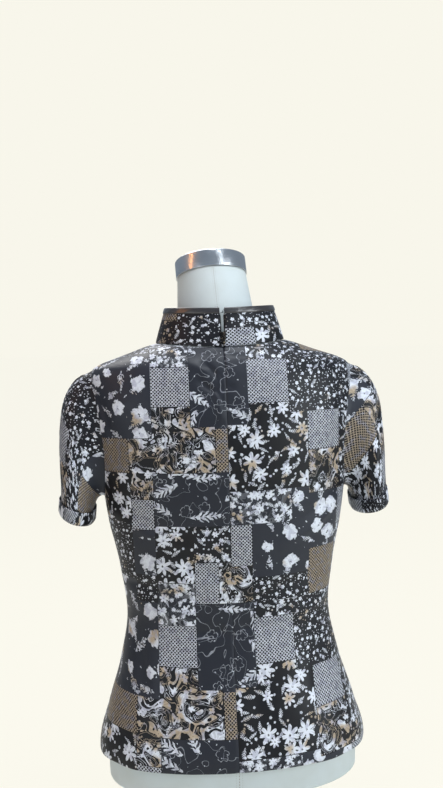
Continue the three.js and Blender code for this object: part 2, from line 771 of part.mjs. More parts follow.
function addHookAndEye() {
  const circle = new THREE.Shape().absarc(0, 0, WIRE_RADIUS, 0, 2 * Math.PI, false);
  const route = new THREE.CatmullRomCurve3(HOOK_ROUTE.map(byCollar));
  const hook = new THREE.ExtrudeGeometry(circle, {
    steps: 22, extrudePath: route, bevelEnabled: false, curveSegments: 4,
  });
  addMesh('collar_hook', hook, BLACK_METAL);
  const ring = [];
  for (let step = 0; step <= 8; step += 1) {
    const turn = 2 * Math.PI * step / 8;
    ring.push([EYE.radius + WIRE_RADIUS * Math.cos(turn), WIRE_RADIUS * Math.sin(turn)]);
  }
  const eye = addMesh('collar_eye', lathe(ring, 20).rotateX(Math.PI / 2), BLACK_METAL);
  eye.position.copy(byCollar(EYE));
  eye.rotation.x = collarLean();
}

addForm();
addPanels();
addSleeves();
addCollar();
addZip();
addHookAndEye();

export default garment;
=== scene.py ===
"""A printed satin qipao top with a back zip, on a limbless dress form."""

import math

import bmesh
import bpy
import numpy as np
from bpy.props import FloatProperty, FloatVectorProperty, IntProperty
from mathutils import Matrix, Vector


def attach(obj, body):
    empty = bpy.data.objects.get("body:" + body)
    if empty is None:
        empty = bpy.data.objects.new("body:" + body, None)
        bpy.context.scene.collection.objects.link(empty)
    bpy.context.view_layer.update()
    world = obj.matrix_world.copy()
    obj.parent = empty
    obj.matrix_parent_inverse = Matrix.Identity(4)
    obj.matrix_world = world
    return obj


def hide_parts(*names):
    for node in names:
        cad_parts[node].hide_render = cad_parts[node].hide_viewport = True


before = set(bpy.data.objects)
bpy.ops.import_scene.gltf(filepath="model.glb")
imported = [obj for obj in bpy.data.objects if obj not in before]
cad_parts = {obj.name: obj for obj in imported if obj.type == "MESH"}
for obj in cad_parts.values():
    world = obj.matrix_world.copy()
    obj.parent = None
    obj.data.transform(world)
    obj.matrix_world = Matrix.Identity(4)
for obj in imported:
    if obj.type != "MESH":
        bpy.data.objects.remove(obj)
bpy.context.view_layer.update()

bl_info = {
    "name": "Qipao top",
    "version": (1, 0, 0),
    "blender": (4, 5, 0),
    "location": "View3D > Sidebar > Qipao",
    "description": "Builds a printed satin qipao top on a dress form",
    "category": "Add Mesh",
}

MM = 0.001
CLOTH = 1.2  # the outside of the cloth, from the inside of its solid
FORM_BOTTOM = 125.0
TOP_LENGTH = 540.0
NECK_POINT_HEIGHT = FORM_BOTTOM + 40 + TOP_LENGTH

# Horizontal sections of the form, at drops below the high neck point, in millimetres.
FIGURE = {
    "drop": (-26, -12, 0, 7, 14, 20, 26, 33, 44, 60,
             100, 150, 207, 240, 300, 365, 430, 490, 540, 580),
    "half": (44, 62, 84, 105, 124, 141, 158, 171, 177, 179,
             176, 168, 158, 152, 136, 126, 139, 159, 170, 169),
    "back": (22, 36, 50, 59, 65, 69, 72, 75, 79, 82,
             88, 89, 86, 82, 71, 62, 76, 97, 106, 103),
    "front": (16, 22, 30, 36, 42, 46, 50, 52, 59, 68,
              84, 103, 119, 123, 104, 86, 87, 92, 94, 92),
    "square": (2, 2, 2, 2, 2, 2, 2, 2, 2.05, 2.1,
               2.2, 2.25, 2.25, 2.25, 2.25, 2.2, 2.25, 2.3, 2.3, 2.3),
}

# How far the inside of the cloth stands off the form.
EASE = {
    "drop": (-26, 0, 26, 36, 60, 120, 207, 240, 300, 365, 430, 490, 540, 580),
    "side": (2.2, 2.2, 2.8, 3.6, 3.4, 4, 6, 7, 10, 12, 10, 8, 10, 10),
    "back": (3.5, 3.5, 4, 4.5, 4.8, 6, 7, 8, 11, 14, 11, 8, 9, 9),
    "front": (3, 3.5, 4.5, 6, 5, 5, 6, 6, 11, 14, 12, 10, 12, 12),
}

# The largest folds: angle, lean, width, height, and the drops where one starts and is full.
FOLDS = (
    (38, 6, 11, 3.2, 330, 520),
    (74, -5, 9, 2.4, 400, 540),
    (118, 8, 12, 3.4, 350, 540),
    (152, -4, 10, 2.2, 300, 500),
    (-31, -8, 12, 2.6, 350, 530),
    (-66, 5, 10, 3.0, 390, 540),
    (-125, -7, 11, 2.6, 340, 520),
    (-160, 5, 12, 2.8, 380, 540),
)

NECK_SIDE_DROP = 1.0
NECK_BLEND = 150.0
ARMHOLE_MIDDLE = 120.0
ARMHOLE_REACH = 87.0
BACK_FACE = {"neck": 8.0, "bite": math.radians(24)}
FRONT_FACE = {"neck": 61.0, "bite": math.radians(31)}
SHOULDER_LEVEL = 60.0  # the drop from which the cut is measured up and down

SLEEVE_SEAM = 0.5
SLEEVE_SLOPE = 0.36
SLEEVE_FLOW = 0.36
SLEEVE_DEPTH = 170.0  # from the top of the sleeve's head to the cuff, on the cut

COLLAR_WALL = 1.6
COLLAR_LIFT = 0.4
COLLAR_TOP = {"half": 75, "back": 54, "front": 69, "back_rise": 44, "side_rise": 47,
              "front_rise": -17}
OPENING = {"closed": 0.35, "half": 3.2, "from": 0, "to": 12}

NECK_ROOT = Vector((1, -2, NECK_POINT_HEIGHT - 20))
NECK_LEAN = math.radians(15)
NECK_SIDE_LEAN = math.radians(3)
NECK_FLATNESS = 0.96
NECK = {"up": (-30, 0, 20, 50, 85, 116), "radius": (62, 58.5, 56.5, 54.5, 51.5, 49)}

HEM_FOLD = 0.9  # radius of the fold along the hem and the cuffs
HEM_TURN = 19.0  # how much cloth is turned up past the fold
PANEL_HEM_SHARE = 0.05
SLEEVE_HEM_SHARE = 0.08
HALF_PANEL = 200.0  # about half a panel's width, for distances from its seams
CUFF = {"across": 204, "half_across": 23, "depth": -7, "half_depth": 62, "drop": 232, "tilt": 9}

COLLAR_RADIUS = 70  # about the collar's radius, for distances round it
BINDING = {"outer": 1.1, "inner": -2.7, "drop": 7.5, "top": 1.0, "face": 0.4}
COIL = {"from": 12.6, "to": 34.6, "inset": 1.1, "least": 0.6, "behind": 1.9}
COIL_TURN = Matrix.Diagonal((0.0011, 0.0006, 0.00042, 1))

# Profiles of turned pieces, radius and height. The cap's heights are above the neck's end.
CAP_PROFILE = ((0, 0), (50.5, 0), (50.5, 23.6), (49.1, 25), (30, 25.5), (0, 25.8))
CAP_GAP = 0.3
POLE_PROFILE = ((0, 15), (12, 15), (12, 125), (0, 125))
BASE_PROFILE = ((0, 0), (150, 0), (150, 12), (147, 15), (0, 15))

# Creases on the cut, in millimetres across to the right of the centre line and down from the
# neck. A trough has a negative height.
CREASE_COLUMNS = ("from_across", "from_down", "to_across", "to_down", "width", "height")
BACK_CREASES = (
    (-50, 8, -8, 13, 5, -2.8), (-58, 16, -12, 36, 7, 2.6), (-30, 24, -7, 48, 4.5, -3.6),
    (-36, 46, -7, 66, 5.5, -2.6), (-18, 54, -8, 104, 5, 1.8), (6, 14, 46, 10, 5, -1.8),
    (24, 22, 30, 96, 9, -1.0), (60, 24, 92, 100, 14, 1.1), (-74, 30, -96, 118, 15, -1.2),
    (-120, 60, -168, 116, 12, 1.2), (-180, 66, -146, 158, 9, -1.9), (180, 62, 148, 150, 9, -1.8),
    (150, 48, 128, 140, 13, 1.1), (-170, 190, -96, 238, 9, -2.0), (168, 186, 88, 236, 9, -2.0),
    (-160, 214, -60, 262, 8, 1.5), (158, 214, 64, 268, 8, 1.6), (-54, 292, 52, 300, 10, -3.4),
    (-150, 318, -30, 340, 8, -3.0), (148, 312, 24, 338, 8, -3.2), (-140, 346, -44, 366, 8, 2.0),
    (60, 362, 146, 348, 8, 2.0), (-70, 384, 66, 376, 9, -3.0), (-128, 400, -96, 520, 13, -2.2),
    (118, 402, 100, 530, 13, -2.4), (30, 420, 44, 540, 14, -2.0),
)
FRONT_CREASES = (
    (-172, 60, -128, 132, 9, -2.0), (172, 58, 126, 134, 9, -2.0), (-66, 20, -40, 84, 12, -1.2),
    (70, 18, 44, 88, 12, -1.2), (-176, 168, -104, 150, 8, -2.4), (176, 166, 102, 152, 8, -2.4),
    (-178, 186, -112, 172, 7, 1.6), (178, 188, 110, 174, 7, 1.6), (-46, 176, 40, 170, 16, -1.8),
    (-66, 210, -58, 300, 8, -1.7), (66, 208, 58, 302, 8, -1.7), (-150, 268, -40, 296, 9, -2.8),
    (150, 272, 44, 300, 9, -2.8), (-142, 300, -30, 318, 8, 1.9), (30, 322, 144, 300, 8, 2.0),
    (-70, 330, 76, 336, 10, -3.2), (-118, 364, -84, 490, 13, -2.2), (116, 360, 92, 480, 13, -2.4),
    (-14, 380, -22, 500, 15, -1.8),
)
SLEEVE_CREASES = (
    (-70, 18, -30, 70, 8, -1.8), (74, 16, 36, 66, 8, -1.8), (-40, 40, -18, 118, 11, 1.4),
    (44, 46, 26, 120, 11, 1.4), (-6, 60, 4, 150, 10, -1.3), (-96, 60, -60, 96, 7, -2.2),
    (98, 58, 60, 92, 7, -2.2),
)

# Place, target, width, height, power and colour of each light.
LIGHTS = {
    "overhead": ((-0.3, 0.45, 2.6), (0, 0.03, 0.65), 0.9, 0.7, 36, (0.9, 0.95, 1.0)),
    "window": ((-1.4, 1.2, 0.85), (0, 0.03, 0.66), 0.8, 1.0, 17, (0.9, 0.96, 1.0)),
    "side_fill": ((1.3, 1.5, 0.7), (0, 0.03, 0.7), 0.7, 0.7, 5, (0.94, 0.98, 1.0)),
    "front_fill": ((0.5, -1.3, 2.3), (0, 0, 0.55), 1.2, 0.9, 30, (1.0, 0.98, 0.95)),
    "warm_strip": ((1.2, 0.42, 1.35), (0, 0, 0.8), 0.05, 0.8, 2.1, (1.0, 0.42, 0.12)),
    "cool_strip": ((-0.9, 1.35, 1.7), (0, 0, 0.8), 0.05, 1.9, 4.2, (0.9, 0.96, 1.0)),
}
# Colour and strength of the surroundings, as they light the scene and as metal mirrors them.
SKY = ((0.65, 0.8, 1.0), 0.16)
MIRRORED = ((0.72, 0.85, 1.0), 0.4)
FLOOR_RADIUS = 60.0
FLOOR_GLOW = {"strength": 1.03, "share": 0.96}
CAMERA_SHIFT = (0.002, -0.067)
CAMERA_ROLL = math.radians(-1.8)

# The print is a repeat of rectangular patches. Each column has its left edge, and its patches
# from the top, each with the level where it ends.
REPEAT = (420.0, 340.0)
CHECK_PERIOD = 4.5
FULL_TURN = 6.28
FILLING_SHIFT = (53.0, 29.0, 0)
SPRIG_SHIFT = (31.0, 17.0, 0)
LILAC_SHIFT = (9.0, 4.0, 0)
BORDER_SHIFT = (0.75, 0.75, 0)
KINDS = ("meadow", "sprigs", "check", "drawn", "swirl", "dogwood", "ditsy", "mixed", "florals_painted_warm_shade",
         "check_painted_warm_shade")
# The tan of the tan check patches is painted warm light where the cloth lies in shade, over a
# printed check.
COLUMNS = (
    (-210, (("meadow", 120), ("check_painted_warm_shade", 165), ("dogwood", 232), ("ditsy", 310),
            ("meadow", 340))),
    (-131, (("meadow", 120), ("swirl", 200), ("check", 240), ("meadow", 302), ("ditsy", 340))),
    (-98, (("sprigs", 29), ("check", 80), ("swirl", 165), ("drawn", 235), ("dogwood", 312),
           ("sprigs", 340))),
    (-47, (("drawn", 107), ("swirl", 165), ("drawn", 235), ("mixed", 284), ("check", 340))),
    (-16, (("drawn", 110), ("check_painted_warm_shade", 165), ("drawn", 235), ("mixed", 284), ("swirl", 340))),
    (0, (("drawn", 105), ("dogwood", 190), ("sprigs", 235), ("check", 290), ("swirl", 340))),
    (28, (("mixed", 20), ("check", 79), ("dogwood", 190), ("sprigs", 235), ("meadow", 306),
          ("ditsy", 340))),
    (82, (("ditsy", 92), ("dogwood", 190), ("meadow", 306), ("ditsy", 340))),
    (107, (("ditsy", 92), ("check", 143), ("swirl", 200), ("meadow", 276), ("check_painted_warm_shade", 340))),
    (160, (("ditsy", 92), ("mixed", 200), ("check", 250), ("sprigs", 340))),
    (184, (("ditsy", 30), ("check", 66), ("ditsy", 92), ("mixed", 200), ("check", 250),
           ("sprigs", 340))),
)

# The collar's patches, across from the centre back and down from its top edge.
COLLAR_COLUMNS = (
    (-210, (("meadow", 60),)),
    (-160, (("check", 24), ("dogwood", 60))),
    # These patches round the collar's side at the wearer's left are painted warm shade: black
    # ground and tan motifs stand in for that side lying out of the cool light.
    (-131, (("florals_painted_warm_shade", 60),)),
    (-98, (("check_painted_warm_shade", 17), ("florals_painted_warm_shade", 60))),
    (-55, (("ditsy", 60),)),
    (0, (("ditsy", 27), ("check", 60))),
    (36, (("ditsy", 27), ("dogwood", 60))),
    (107, (("mixed", 60),)),
    (150, (("check", 30), ("meadow", 60))),
    (184, (("meadow", 60),)),
)


# ---------------------------------------------------------------- the shape of the cloth

LEVELS = np.arange(-30.0, 600.0, 0.5)


def smooth_column(drops, values):
    """A smooth curve through the rows of a table, which never overshoots them."""
    drops, values = np.array(drops, float), np.array(values, float)
    steps = np.diff(values) / np.diff(drops)
    before, after = steps[:-1], steps[1:]
    same_way = before * after > 0
    total = np.where(same_way, before + after, 1)
    inner = np.where(same_way, 2 * before * after / total, 0)
    slopes = np.concatenate([steps[:1], inner, steps[-1:]])
    drop = np.clip(LEVELS, drops[0], drops[-1])
    row = np.clip(np.searchsorted(drops, drop, side="left") - 1, 0, len(drops) - 2)
    step = drops[row + 1] - drops[row]
    t = (drop - drops[row]) / step
    return ((2 * t ** 3 - 3 * t ** 2 + 1) * values[row]
            + (t ** 3 - 2 * t ** 2 + t) * slopes[row] * step
            + (3 * t ** 2 - 2 * t ** 3) * values[row + 1]
            + (t ** 3 - t ** 2) * slopes[row + 1] * step)


FIGURE_CURVES = {name: smooth_column(FIGURE["drop"], FIGURE[name])
                 for name in ("half", "back", "front", "square")}
EASE_CURVES = {name: smooth_column(EASE["drop"], EASE[name])
               for name in ("side", "back", "front")}


def figure(column, drop):
    return np.interp(drop, LEVELS, FIGURE_CURVES[column])


def ease(column, drop):
    return np.interp(drop, LEVELS, EASE_CURVES[column])


def smooth_step(value, start, end):
    t = np.clip((value - start) / (end - start), 0, 1)
    return t * t * (3 - 2 * t)


def signed_power(value, power):
    return np.sign(value) * np.abs(value) ** power


def unit(vectors):
    return vectors / np.maximum(np.linalg.norm(vectors, axis=-1, keepdims=True), 1e-12)


def surface_normal(point, first, second, first_step, second_step):
    """The unit normal of a surface, from points a small step to each side."""
    across = point(first + first_step, second) - point(first - first_step, second)
    along = point(first, second + second_step) - point(first, second - second_step)
    return unit(np.cross(across, along))


def ring_point(half, back, front, square, angle, height):
    depth = np.where(np.cos(angle) > 0, back, front)
    x = half * signed_power(np.sin(angle), 2 / square)
    y = depth * signed_power(np.cos(angle), 2 / square)
    return np.stack([x, y, height + 0 * x], axis=-1)


def form_point(angle, drop):
    half, back, front, square = (
        figure(column, drop) for column in ("half", "back", "front", "square"))
    return ring_point(half, back, front, square, angle, NECK_POINT_HEIGHT - drop)


def fold_height(angle, drop):
    height = 0
    for middle, lean, width, top, start, end in FOLDS:
        along = smooth_step(drop, start, end)
        away = np.degrees(angle) - middle - lean * along
        turned = (away + 180) % 360 - 180
        height = height + top * along * np.exp(-(turned / width) ** 2)
    return height


def cloth_half(drop):
    return figure("half", drop) + ease("side", drop)


def cloth_point(angle, drop):
    """The inside of the cloth's solid."""
    fold = fold_height(angle, drop)
    back = figure("back", drop) + ease("back", drop) + fold
    front = figure("front", drop) + ease("front", drop) + fold
    square = figure("square", drop)
    return ring_point(cloth_half(drop) + fold, back, front, square, angle,
                      NECK_POINT_HEIGHT - drop)


def cloth_normal(angle, drop):
    return surface_normal(cloth_point, angle, drop, 0.02, 0.5)


def neckline_place(share, centre_drop):
    turn = share * np.pi / 2
    drop = NECK_SIDE_DROP + (centre_drop - NECK_SIDE_DROP) * np.cos(turn) ** 2
    across = cloth_half(NECK_SIDE_DROP) * np.sin(turn) / cloth_half(drop)
    square = figure("square", drop)
    return np.arcsin(np.minimum(across, 1) ** (square / 2)), drop


def edge_angle(row, bite):
    level = np.minimum(np.abs(row - ARMHOLE_MIDDLE) / ARMHOLE_REACH, 1)
    return np.pi / 2 - bite * np.sqrt(1 - level ** 2)


def panel_place(share, row, face):
    """The angle from the panel's centre line and the drop of a place on a panel."""
    neck_angle, neck_drop = neckline_place(share, face["neck"])
    pull = np.maximum(1 - (row - NECK_SIDE_DROP) / (NECK_BLEND - NECK_SIDE_DROP), 0)
    angle = share * edge_angle(row, face["bite"]) + pull * (neck_angle - share * np.pi / 2)
    return angle, row + pull * (neck_drop - NECK_SIDE_DROP)


def depth_at(across, drop, face):
    """How far a point of the cloth lies before or behind the shoulder line."""
    column = "back" if face is BACK_FACE else "front"
    depth = figure(column, drop) + ease(column, drop)
    square = figure("square", drop)
    share = np.clip(np.abs(across) / cloth_half(drop), 0, 1)
    return depth * (1 - share ** square) ** (1 / square)


def cut_table(face):
    """Where places on the body lie on the flat cut, across from the centre line and down from
    the neck's middle, for a grid of angles from the centre line and drops."""
    angles = np.linspace(0, np.pi / 2, 91)
    drops = np.arange(0, 600, 4.0)
    angle, drop = np.meshgrid(angles, drops, indexing="ij")
    full = angle if face is BACK_FACE else np.pi - angle
    points = cloth_point(full, drop)

    def lengths(line, axis):
        steps = np.linalg.norm(np.diff(line, axis=axis), axis=-1)
        return np.cumsum(np.insert(steps, 0, 0, axis=axis), axis=axis)

    level = int(np.searchsorted(drops, SHOULDER_LEVEL))
    across = lengths(points, 0)
    over = np.interp(np.abs(points[..., 0]), np.abs(points[:, level, 0]), across[:, level])
    across = np.where(drop < SHOULDER_LEVEL, over, across)
    down = lengths(points, 1)
    down = down - down[:, level:level + 1]
    steps = np.linspace(0, 1, 60)[:, None, None]
    line = drop + (SHOULDER_LEVEL - drop) * steps
    depths = depth_at(np.abs(points[..., 0]), line, face)
    above = np.hypot(np.diff(line, axis=0), np.diff(depths, axis=0)).sum(axis=0)
    neck = np.linspace(face["neck"], SHOULDER_LEVEL, 40)
    start = np.hypot(np.diff(neck), np.diff(depth_at(0, neck, face))).sum()
    down = np.where(drop < SHOULDER_LEVEL, -above, down) + start
    return angles, drops, across, down


def read_table(rows, columns, table, row, column):
    """Reads a table between its rows and columns."""
    r = np.clip((row - rows[0]) / (rows[1] - rows[0]), 0, len(rows) - 1.001)
    c = np.clip((column - columns[0]) / (columns[1] - columns[0]), 0, len(columns) - 1.001)
    i, j = r.astype(int), c.astype(int)
    a, b = r - i, c - j
    return ((table[i, j] * (1 - a) + table[i + 1, j] * a) * (1 - b)
            + (table[i, j + 1] * (1 - a) + table[i + 1, j + 1] * a) * b)


def crease_height(creases, across, down):
    """The sum of soft uneven creases, each fading out at its ends."""
    height = 0
    for number, row in enumerate(creases):
        crease = dict(zip(CREASE_COLUMNS, row))
        start = np.array([crease["from_across"], crease["from_down"]], float)
        end = np.array([crease["to_across"], crease["to_down"]], float)
        length = np.linalg.norm(end - start)
        along = (end - start) / length
        x, y = across - start[0], down - start[1]
        t = (x * along[0] + y * along[1]) / length
        bend = 0.05 * length * np.sin(np.pi * np.clip(t, 0, 1)) * (1 if number % 2 else -1)
        away = y * along[0] - x * along[1] - bend
        fade = smooth_step(t, -0.18, 0.28) * (1 - smooth_step(t, 0.62, 1.2))
        width = crease["width"] * (1 + 0.3 * np.sin(3 * t + number))
        height = height + crease["height"] * fade * np.exp(-(away / width) ** 2)
    return height


def clustered(share, tightness=0.82):
    """Spreads shares from 0 to 1 so that they crowd together at both ends."""
    return share - tightness * np.sin(2 * np.pi * share) / (2 * np.pi)


def hem_roll(beyond):
    """How far in and how far up the cloth lies that has gone past the fold of the hem."""
    turn = beyond / HEM_FOLD
    rolling = turn < np.pi
    inward = np.where(rolling, HEM_FOLD * (1 - np.cos(turn)), 2 * HEM_FOLD)
    climb = np.where(rolling, -HEM_FOLD * np.sin(turn), beyond - np.pi * HEM_FOLD)
    return inward, climb


def seam_dip(distance, depth=0.75, width=0.9):
    return -depth * np.exp(-(distance / width) ** 2)


# ---------------------------------------------------------------- the panels and sleeves

def panel_surface(face, first, last):
    """A function from shares across and down a panel to its points and places on the cut."""
    hem_share = PANEL_HEM_SHARE
    centre_side = first == 0 or last == 0
    angles, drops, cut_across, cut_down = cut_table(face)

    def place(across, down):
        share = first + (last - first) * clustered(across)
        body = np.clip(down / (1 - hem_share), 0, 1)
        row = NECK_SIDE_DROP + (TOP_LENGTH - NECK_SIDE_DROP) * body ** 1.2
        beyond = np.clip(down - (1 - hem_share), 0, 1) / hem_share * HEM_TURN
        angle, drop = panel_place(np.abs(share), row, face)
        inward, climb = hem_roll(beyond)
        drop = drop - climb
        side = np.where(share < 0, -1.0, 1.0)
        full = side * angle if face is BACK_FACE else np.pi - side * angle
        outside_right = -side if face is BACK_FACE else side
        u = outside_right * read_table(angles, drops, cut_across, angle, drop)
        level = read_table(angles, drops, cut_down, angle, drop)
        v = np.where(beyond > 0, level + climb + beyond, level)
        creases = BACK_CREASES if face is BACK_FACE else FRONT_CREASES
        height = crease_height(creases, u, level)
        height = height * smooth_step(drop, 6, 40) + crease_ripple(u, level)
        over_zip = (1 - smooth_step(np.abs(u), 9, 18)) * (1 - smooth_step(level, 395, 420))
        if centre_side:
            height = np.maximum(height, -0.2 - 4 * (1 - over_zip))
        room = np.clip(1 - (np.abs(share) - 0.93) / 0.07, 0, 1)
        height = height * np.where(np.abs(share) > 0.93, room, 1)
        height = height + seam_dip((1 - np.abs(share)) * HALF_PANEL)
        if centre_side:
            height = height + centre_seam(np.abs(share) * HALF_PANEL, level)
        height = height + seam_dip(row - NECK_SIDE_DROP, 0.6, 1.5)
        points = cloth_point(full, drop)
        normal = cloth_normal(full, drop)
        points = points + normal * (CLOTH + height - inward)[:, None]
        return points, np.stack([u, -v], axis=-1)

    return place


def crease_ripple(u, v):
    """The faint unevenness that cloth has everywhere."""
    return (0.28 * np.sin(u / 17 + 1.3 * np.sin(v / 41)) * np.sin(v / 29 + 0.7)
            + 0.16 * np.sin(u / 7.3 + v / 19) * np.sin(v / 11.5 + u / 37))


def centre_seam(distance, down):
    """The closed seam over the zip, with the small puckers beside it."""
    pucker = 0.42 * np.sin(down / 3.4 + np.sin(down / 9)) * np.exp(-(distance - 5) ** 2 / 26)
    fade = 1 - smooth_step(down, 300, 420)
    return seam_dip(distance, 0.9, 1.0) + pucker * (0.35 + 0.65 * fade)


def armhole_place(turn):
    bite = np.where(np.sin(turn) > 0, BACK_FACE["bite"], FRONT_FACE["bite"])
    return np.pi / 2 - bite * np.sin(turn), ARMHOLE_MIDDLE - ARMHOLE_REACH * np.cos(turn)


def sleeve_start(turn):
    angle, drop = armhole_place(turn)
    normal = cloth_normal(angle, drop)
    along = cloth_point(*armhole_place(turn + 0.02)) - cloth_point(*armhole_place(turn - 0.02))
    across = unit(np.cross(along, normal))
    slope = -SLEEVE_SLOPE * np.cos(turn / 2) ** 2
    outward = np.stack([np.ones_like(slope), 0 * slope, slope], axis=-1)
    lift = np.arctan2((outward * normal).sum(-1), (outward * across).sum(-1))
    bend = np.minimum(lift, np.pi / 2)[:, None]
    direction = across * np.cos(bend) + normal * np.sin(bend)
    clear = CLOTH * np.sin(bend) + SLEEVE_SEAM
    return cloth_point(angle, drop) + direction * clear, direction


def cuff_point(turn):
    x = CUFF["across"] + CUFF["half_across"] * np.cos(turn)
    y = CUFF["depth"] + CUFF["half_depth"] * np.sin(turn)
    return np.stack([x, y, NECK_POINT_HEIGHT - CUFF["drop"] + CUFF["tilt"] * np.cos(turn)],
                    axis=-1)


def sleeve_point(turn, share):
    start, direction = sleeve_start(turn)
    end = cuff_point(turn)
    reach = np.linalg.norm(end - start, axis=-1, keepdims=True) * SLEEVE_FLOW
    leaving = start + direction * reach
    arriving = end + reach * np.array([-0.1, 0, 1.0])
    t = share[:, None]
    return ((1 - t) ** 3 * start + 3 * (1 - t) ** 2 * t * leaving
            + 3 * (1 - t) * t ** 2 * arriving + t ** 3 * end)


def sleeve_normal(turn, share):
    return surface_normal(sleeve_point, turn, np.clip(share, 0.01, 0.99), 0.01, 0.01)


def sleeve_surface(side):
    """A function from shares round and down a sleeve to its points and places on the cut."""
    hem_share = SLEEVE_HEM_SHARE

    def place(around, down):
        turn = 2 * np.pi * (around - 0.5)
        share = np.clip(down / (1 - hem_share), 0, 1)
        share = np.where(share < 0.12, share * share / 0.12 * 0.5 + share * 0.5, share)
        beyond = np.clip(down - (1 - hem_share), 0, 1) / hem_share * HEM_TURN
        normal = sleeve_normal(turn, share)
        outer = sleeve_point(turn, share) + normal * CLOTH
        angle, drop = armhole_place(turn)
        seam_normal = cloth_normal(angle, drop)
        edge = cloth_point(angle, drop) + seam_normal * (CLOTH - 1.1)
        joined = smooth_step(share, 0, 0.035)[:, None]
        points = edge * (1 - joined) + outer * joined
        line = np.stack([sleeve_point(turn, t + 0 * share) for t in np.linspace(0, 1, 33)])
        lengths = np.linalg.norm(np.diff(line, axis=0), axis=-1)
        done = np.clip(share[None] * 32 - np.arange(32)[:, None], 0, 1)
        length = (lengths * done).sum(0)
        left = (lengths * (1 - done)).sum(0)
        ring = np.stack([sleeve_point(turn * t, 0.4 + 0 * turn) for t in np.linspace(0, 1, 25)])
        u = side * np.sign(turn) * np.linalg.norm(np.diff(ring, axis=0), axis=-1).sum(0)
        v = 0.4 * length + 0.6 * (SLEEVE_DEPTH - left) + beyond
        height = crease_height(SLEEVE_CREASES, side * u, length) + crease_ripple(u + 90, v)
        height = height * smooth_step(share, 0.03, 0.2)
        inward, climb = hem_roll(beyond)
        end_way = unit(np.array([0.1, 0, -1.0]))
        points = points + normal * (height - inward)[:, None] - climb[:, None] * end_way
        points = points * np.array([side, 1, 1])
        return points, np.stack([u, -v], axis=-1)

    return place


# ---------------------------------------------------------------- the collar

def collar_foot(turn):
    share = np.arcsin(np.clip(np.abs(np.sin(turn)), 0, 1)) / (np.pi / 2)
    back = np.cos(turn) > 0
    back_angle, back_drop = neckline_place(share, BACK_FACE["neck"])
    front_angle, front_drop = neckline_place(share, FRONT_FACE["neck"])
    side = np.where(np.sin(turn) < 0, -1, 1)
    angle = side * np.where(back, back_angle, np.pi - front_angle)
    drop = np.where(back, back_drop, front_drop)
    foot = cloth_point(angle, drop) + CLOTH * cloth_normal(angle, drop)
    return foot + np.array([0, 0, COLLAR_LIFT])


def collar_head(turn):
    cos = np.cos(turn)
    depth = np.where(cos > 0, COLLAR_TOP["back"], COLLAR_TOP["front"])
    centre = np.where(cos > 0, COLLAR_TOP["back_rise"], COLLAR_TOP["front_rise"])
    rise = COLLAR_TOP["side_rise"] + (centre - COLLAR_TOP["side_rise"]) * cos ** 2
    return np.stack([COLLAR_TOP["half"] * np.sin(turn), depth * cos, NECK_POINT_HEIGHT + rise],
                    axis=-1)


def collar_point(turn, share):
    foot = collar_foot(turn)
    return foot + (collar_head(turn) - foot) * np.asarray(share)[..., None]


def collar_normal(turn, share):
    return -surface_normal(collar_point, turn, share, 0.01, 0.01)


def opening_half(rise):
    t = (np.clip(rise, OPENING["from"], OPENING["to"]) - OPENING["from"])
    t = t / (OPENING["to"] - OPENING["from"])
    return OPENING["closed"] + (OPENING["half"] - OPENING["closed"]) * t


def collar_turn(across, share):
    turn = across / COLLAR_TOP["half"]
    for _ in range(4):
        turn = turn * across / collar_point(turn, share)[..., 0]
    return turn


def foot_rise():
    """The height of the collar's foot at the centre back, from the high neck point."""
    return float(collar_foot(np.array([0.0]))[0, 2]) - NECK_POINT_HEIGHT


def share_at_rise(rise):
    foot = foot_rise()
    return (rise - foot) / (COLLAR_TOP["back_rise"] - foot)


def collar_start(share):
    foot = foot_rise()
    rise = foot + (COLLAR_TOP["back_rise"] - foot) * share
    return collar_turn(opening_half(rise), share)


def collar_length(turn):
    """How far round the collar's middle a turn is from the centre back."""
    turns = np.linspace(0, 2 * np.pi, 240)
    line = collar_point(turns, 0.5 + 0 * turns)
    lengths = np.cumsum(np.insert(np.linalg.norm(np.diff(line, axis=0), axis=-1), 0, 0))
    return np.interp(turn, turns, lengths)


def collar_surface(across, share):
    """Points and places on the cut for shares round and up the collar."""
    start = collar_start(share)
    turn = start + (2 * np.pi - 2 * start) * clustered(across, 0.9)
    whole = collar_length(2 * np.pi)
    u = -collar_length(turn) * REPEAT[0] / whole
    tall = np.linalg.norm(collar_head(turn) - collar_foot(turn), axis=-1)
    v = (1 - share) * tall
    edge = np.minimum(across, 1 - across) * 2
    distance = np.minimum(turn - start, 2 * np.pi - start - turn) * COLLAR_RADIUS
    height = seam_dip(distance, 0.8, 0.8) + seam_dip(share * tall, 0.5, 1.2)
    height = height + 0.35 * np.sin(np.pi * share) * smooth_step(edge, 0, 0.08)
    height = height + 0.12 * np.sin(u / 8 + 2 * share) * np.sin(u / 21)
    points = collar_point(turn, share) + collar_normal(turn, share) * height[:, None]
    return points, np.stack([u, -v], axis=-1)


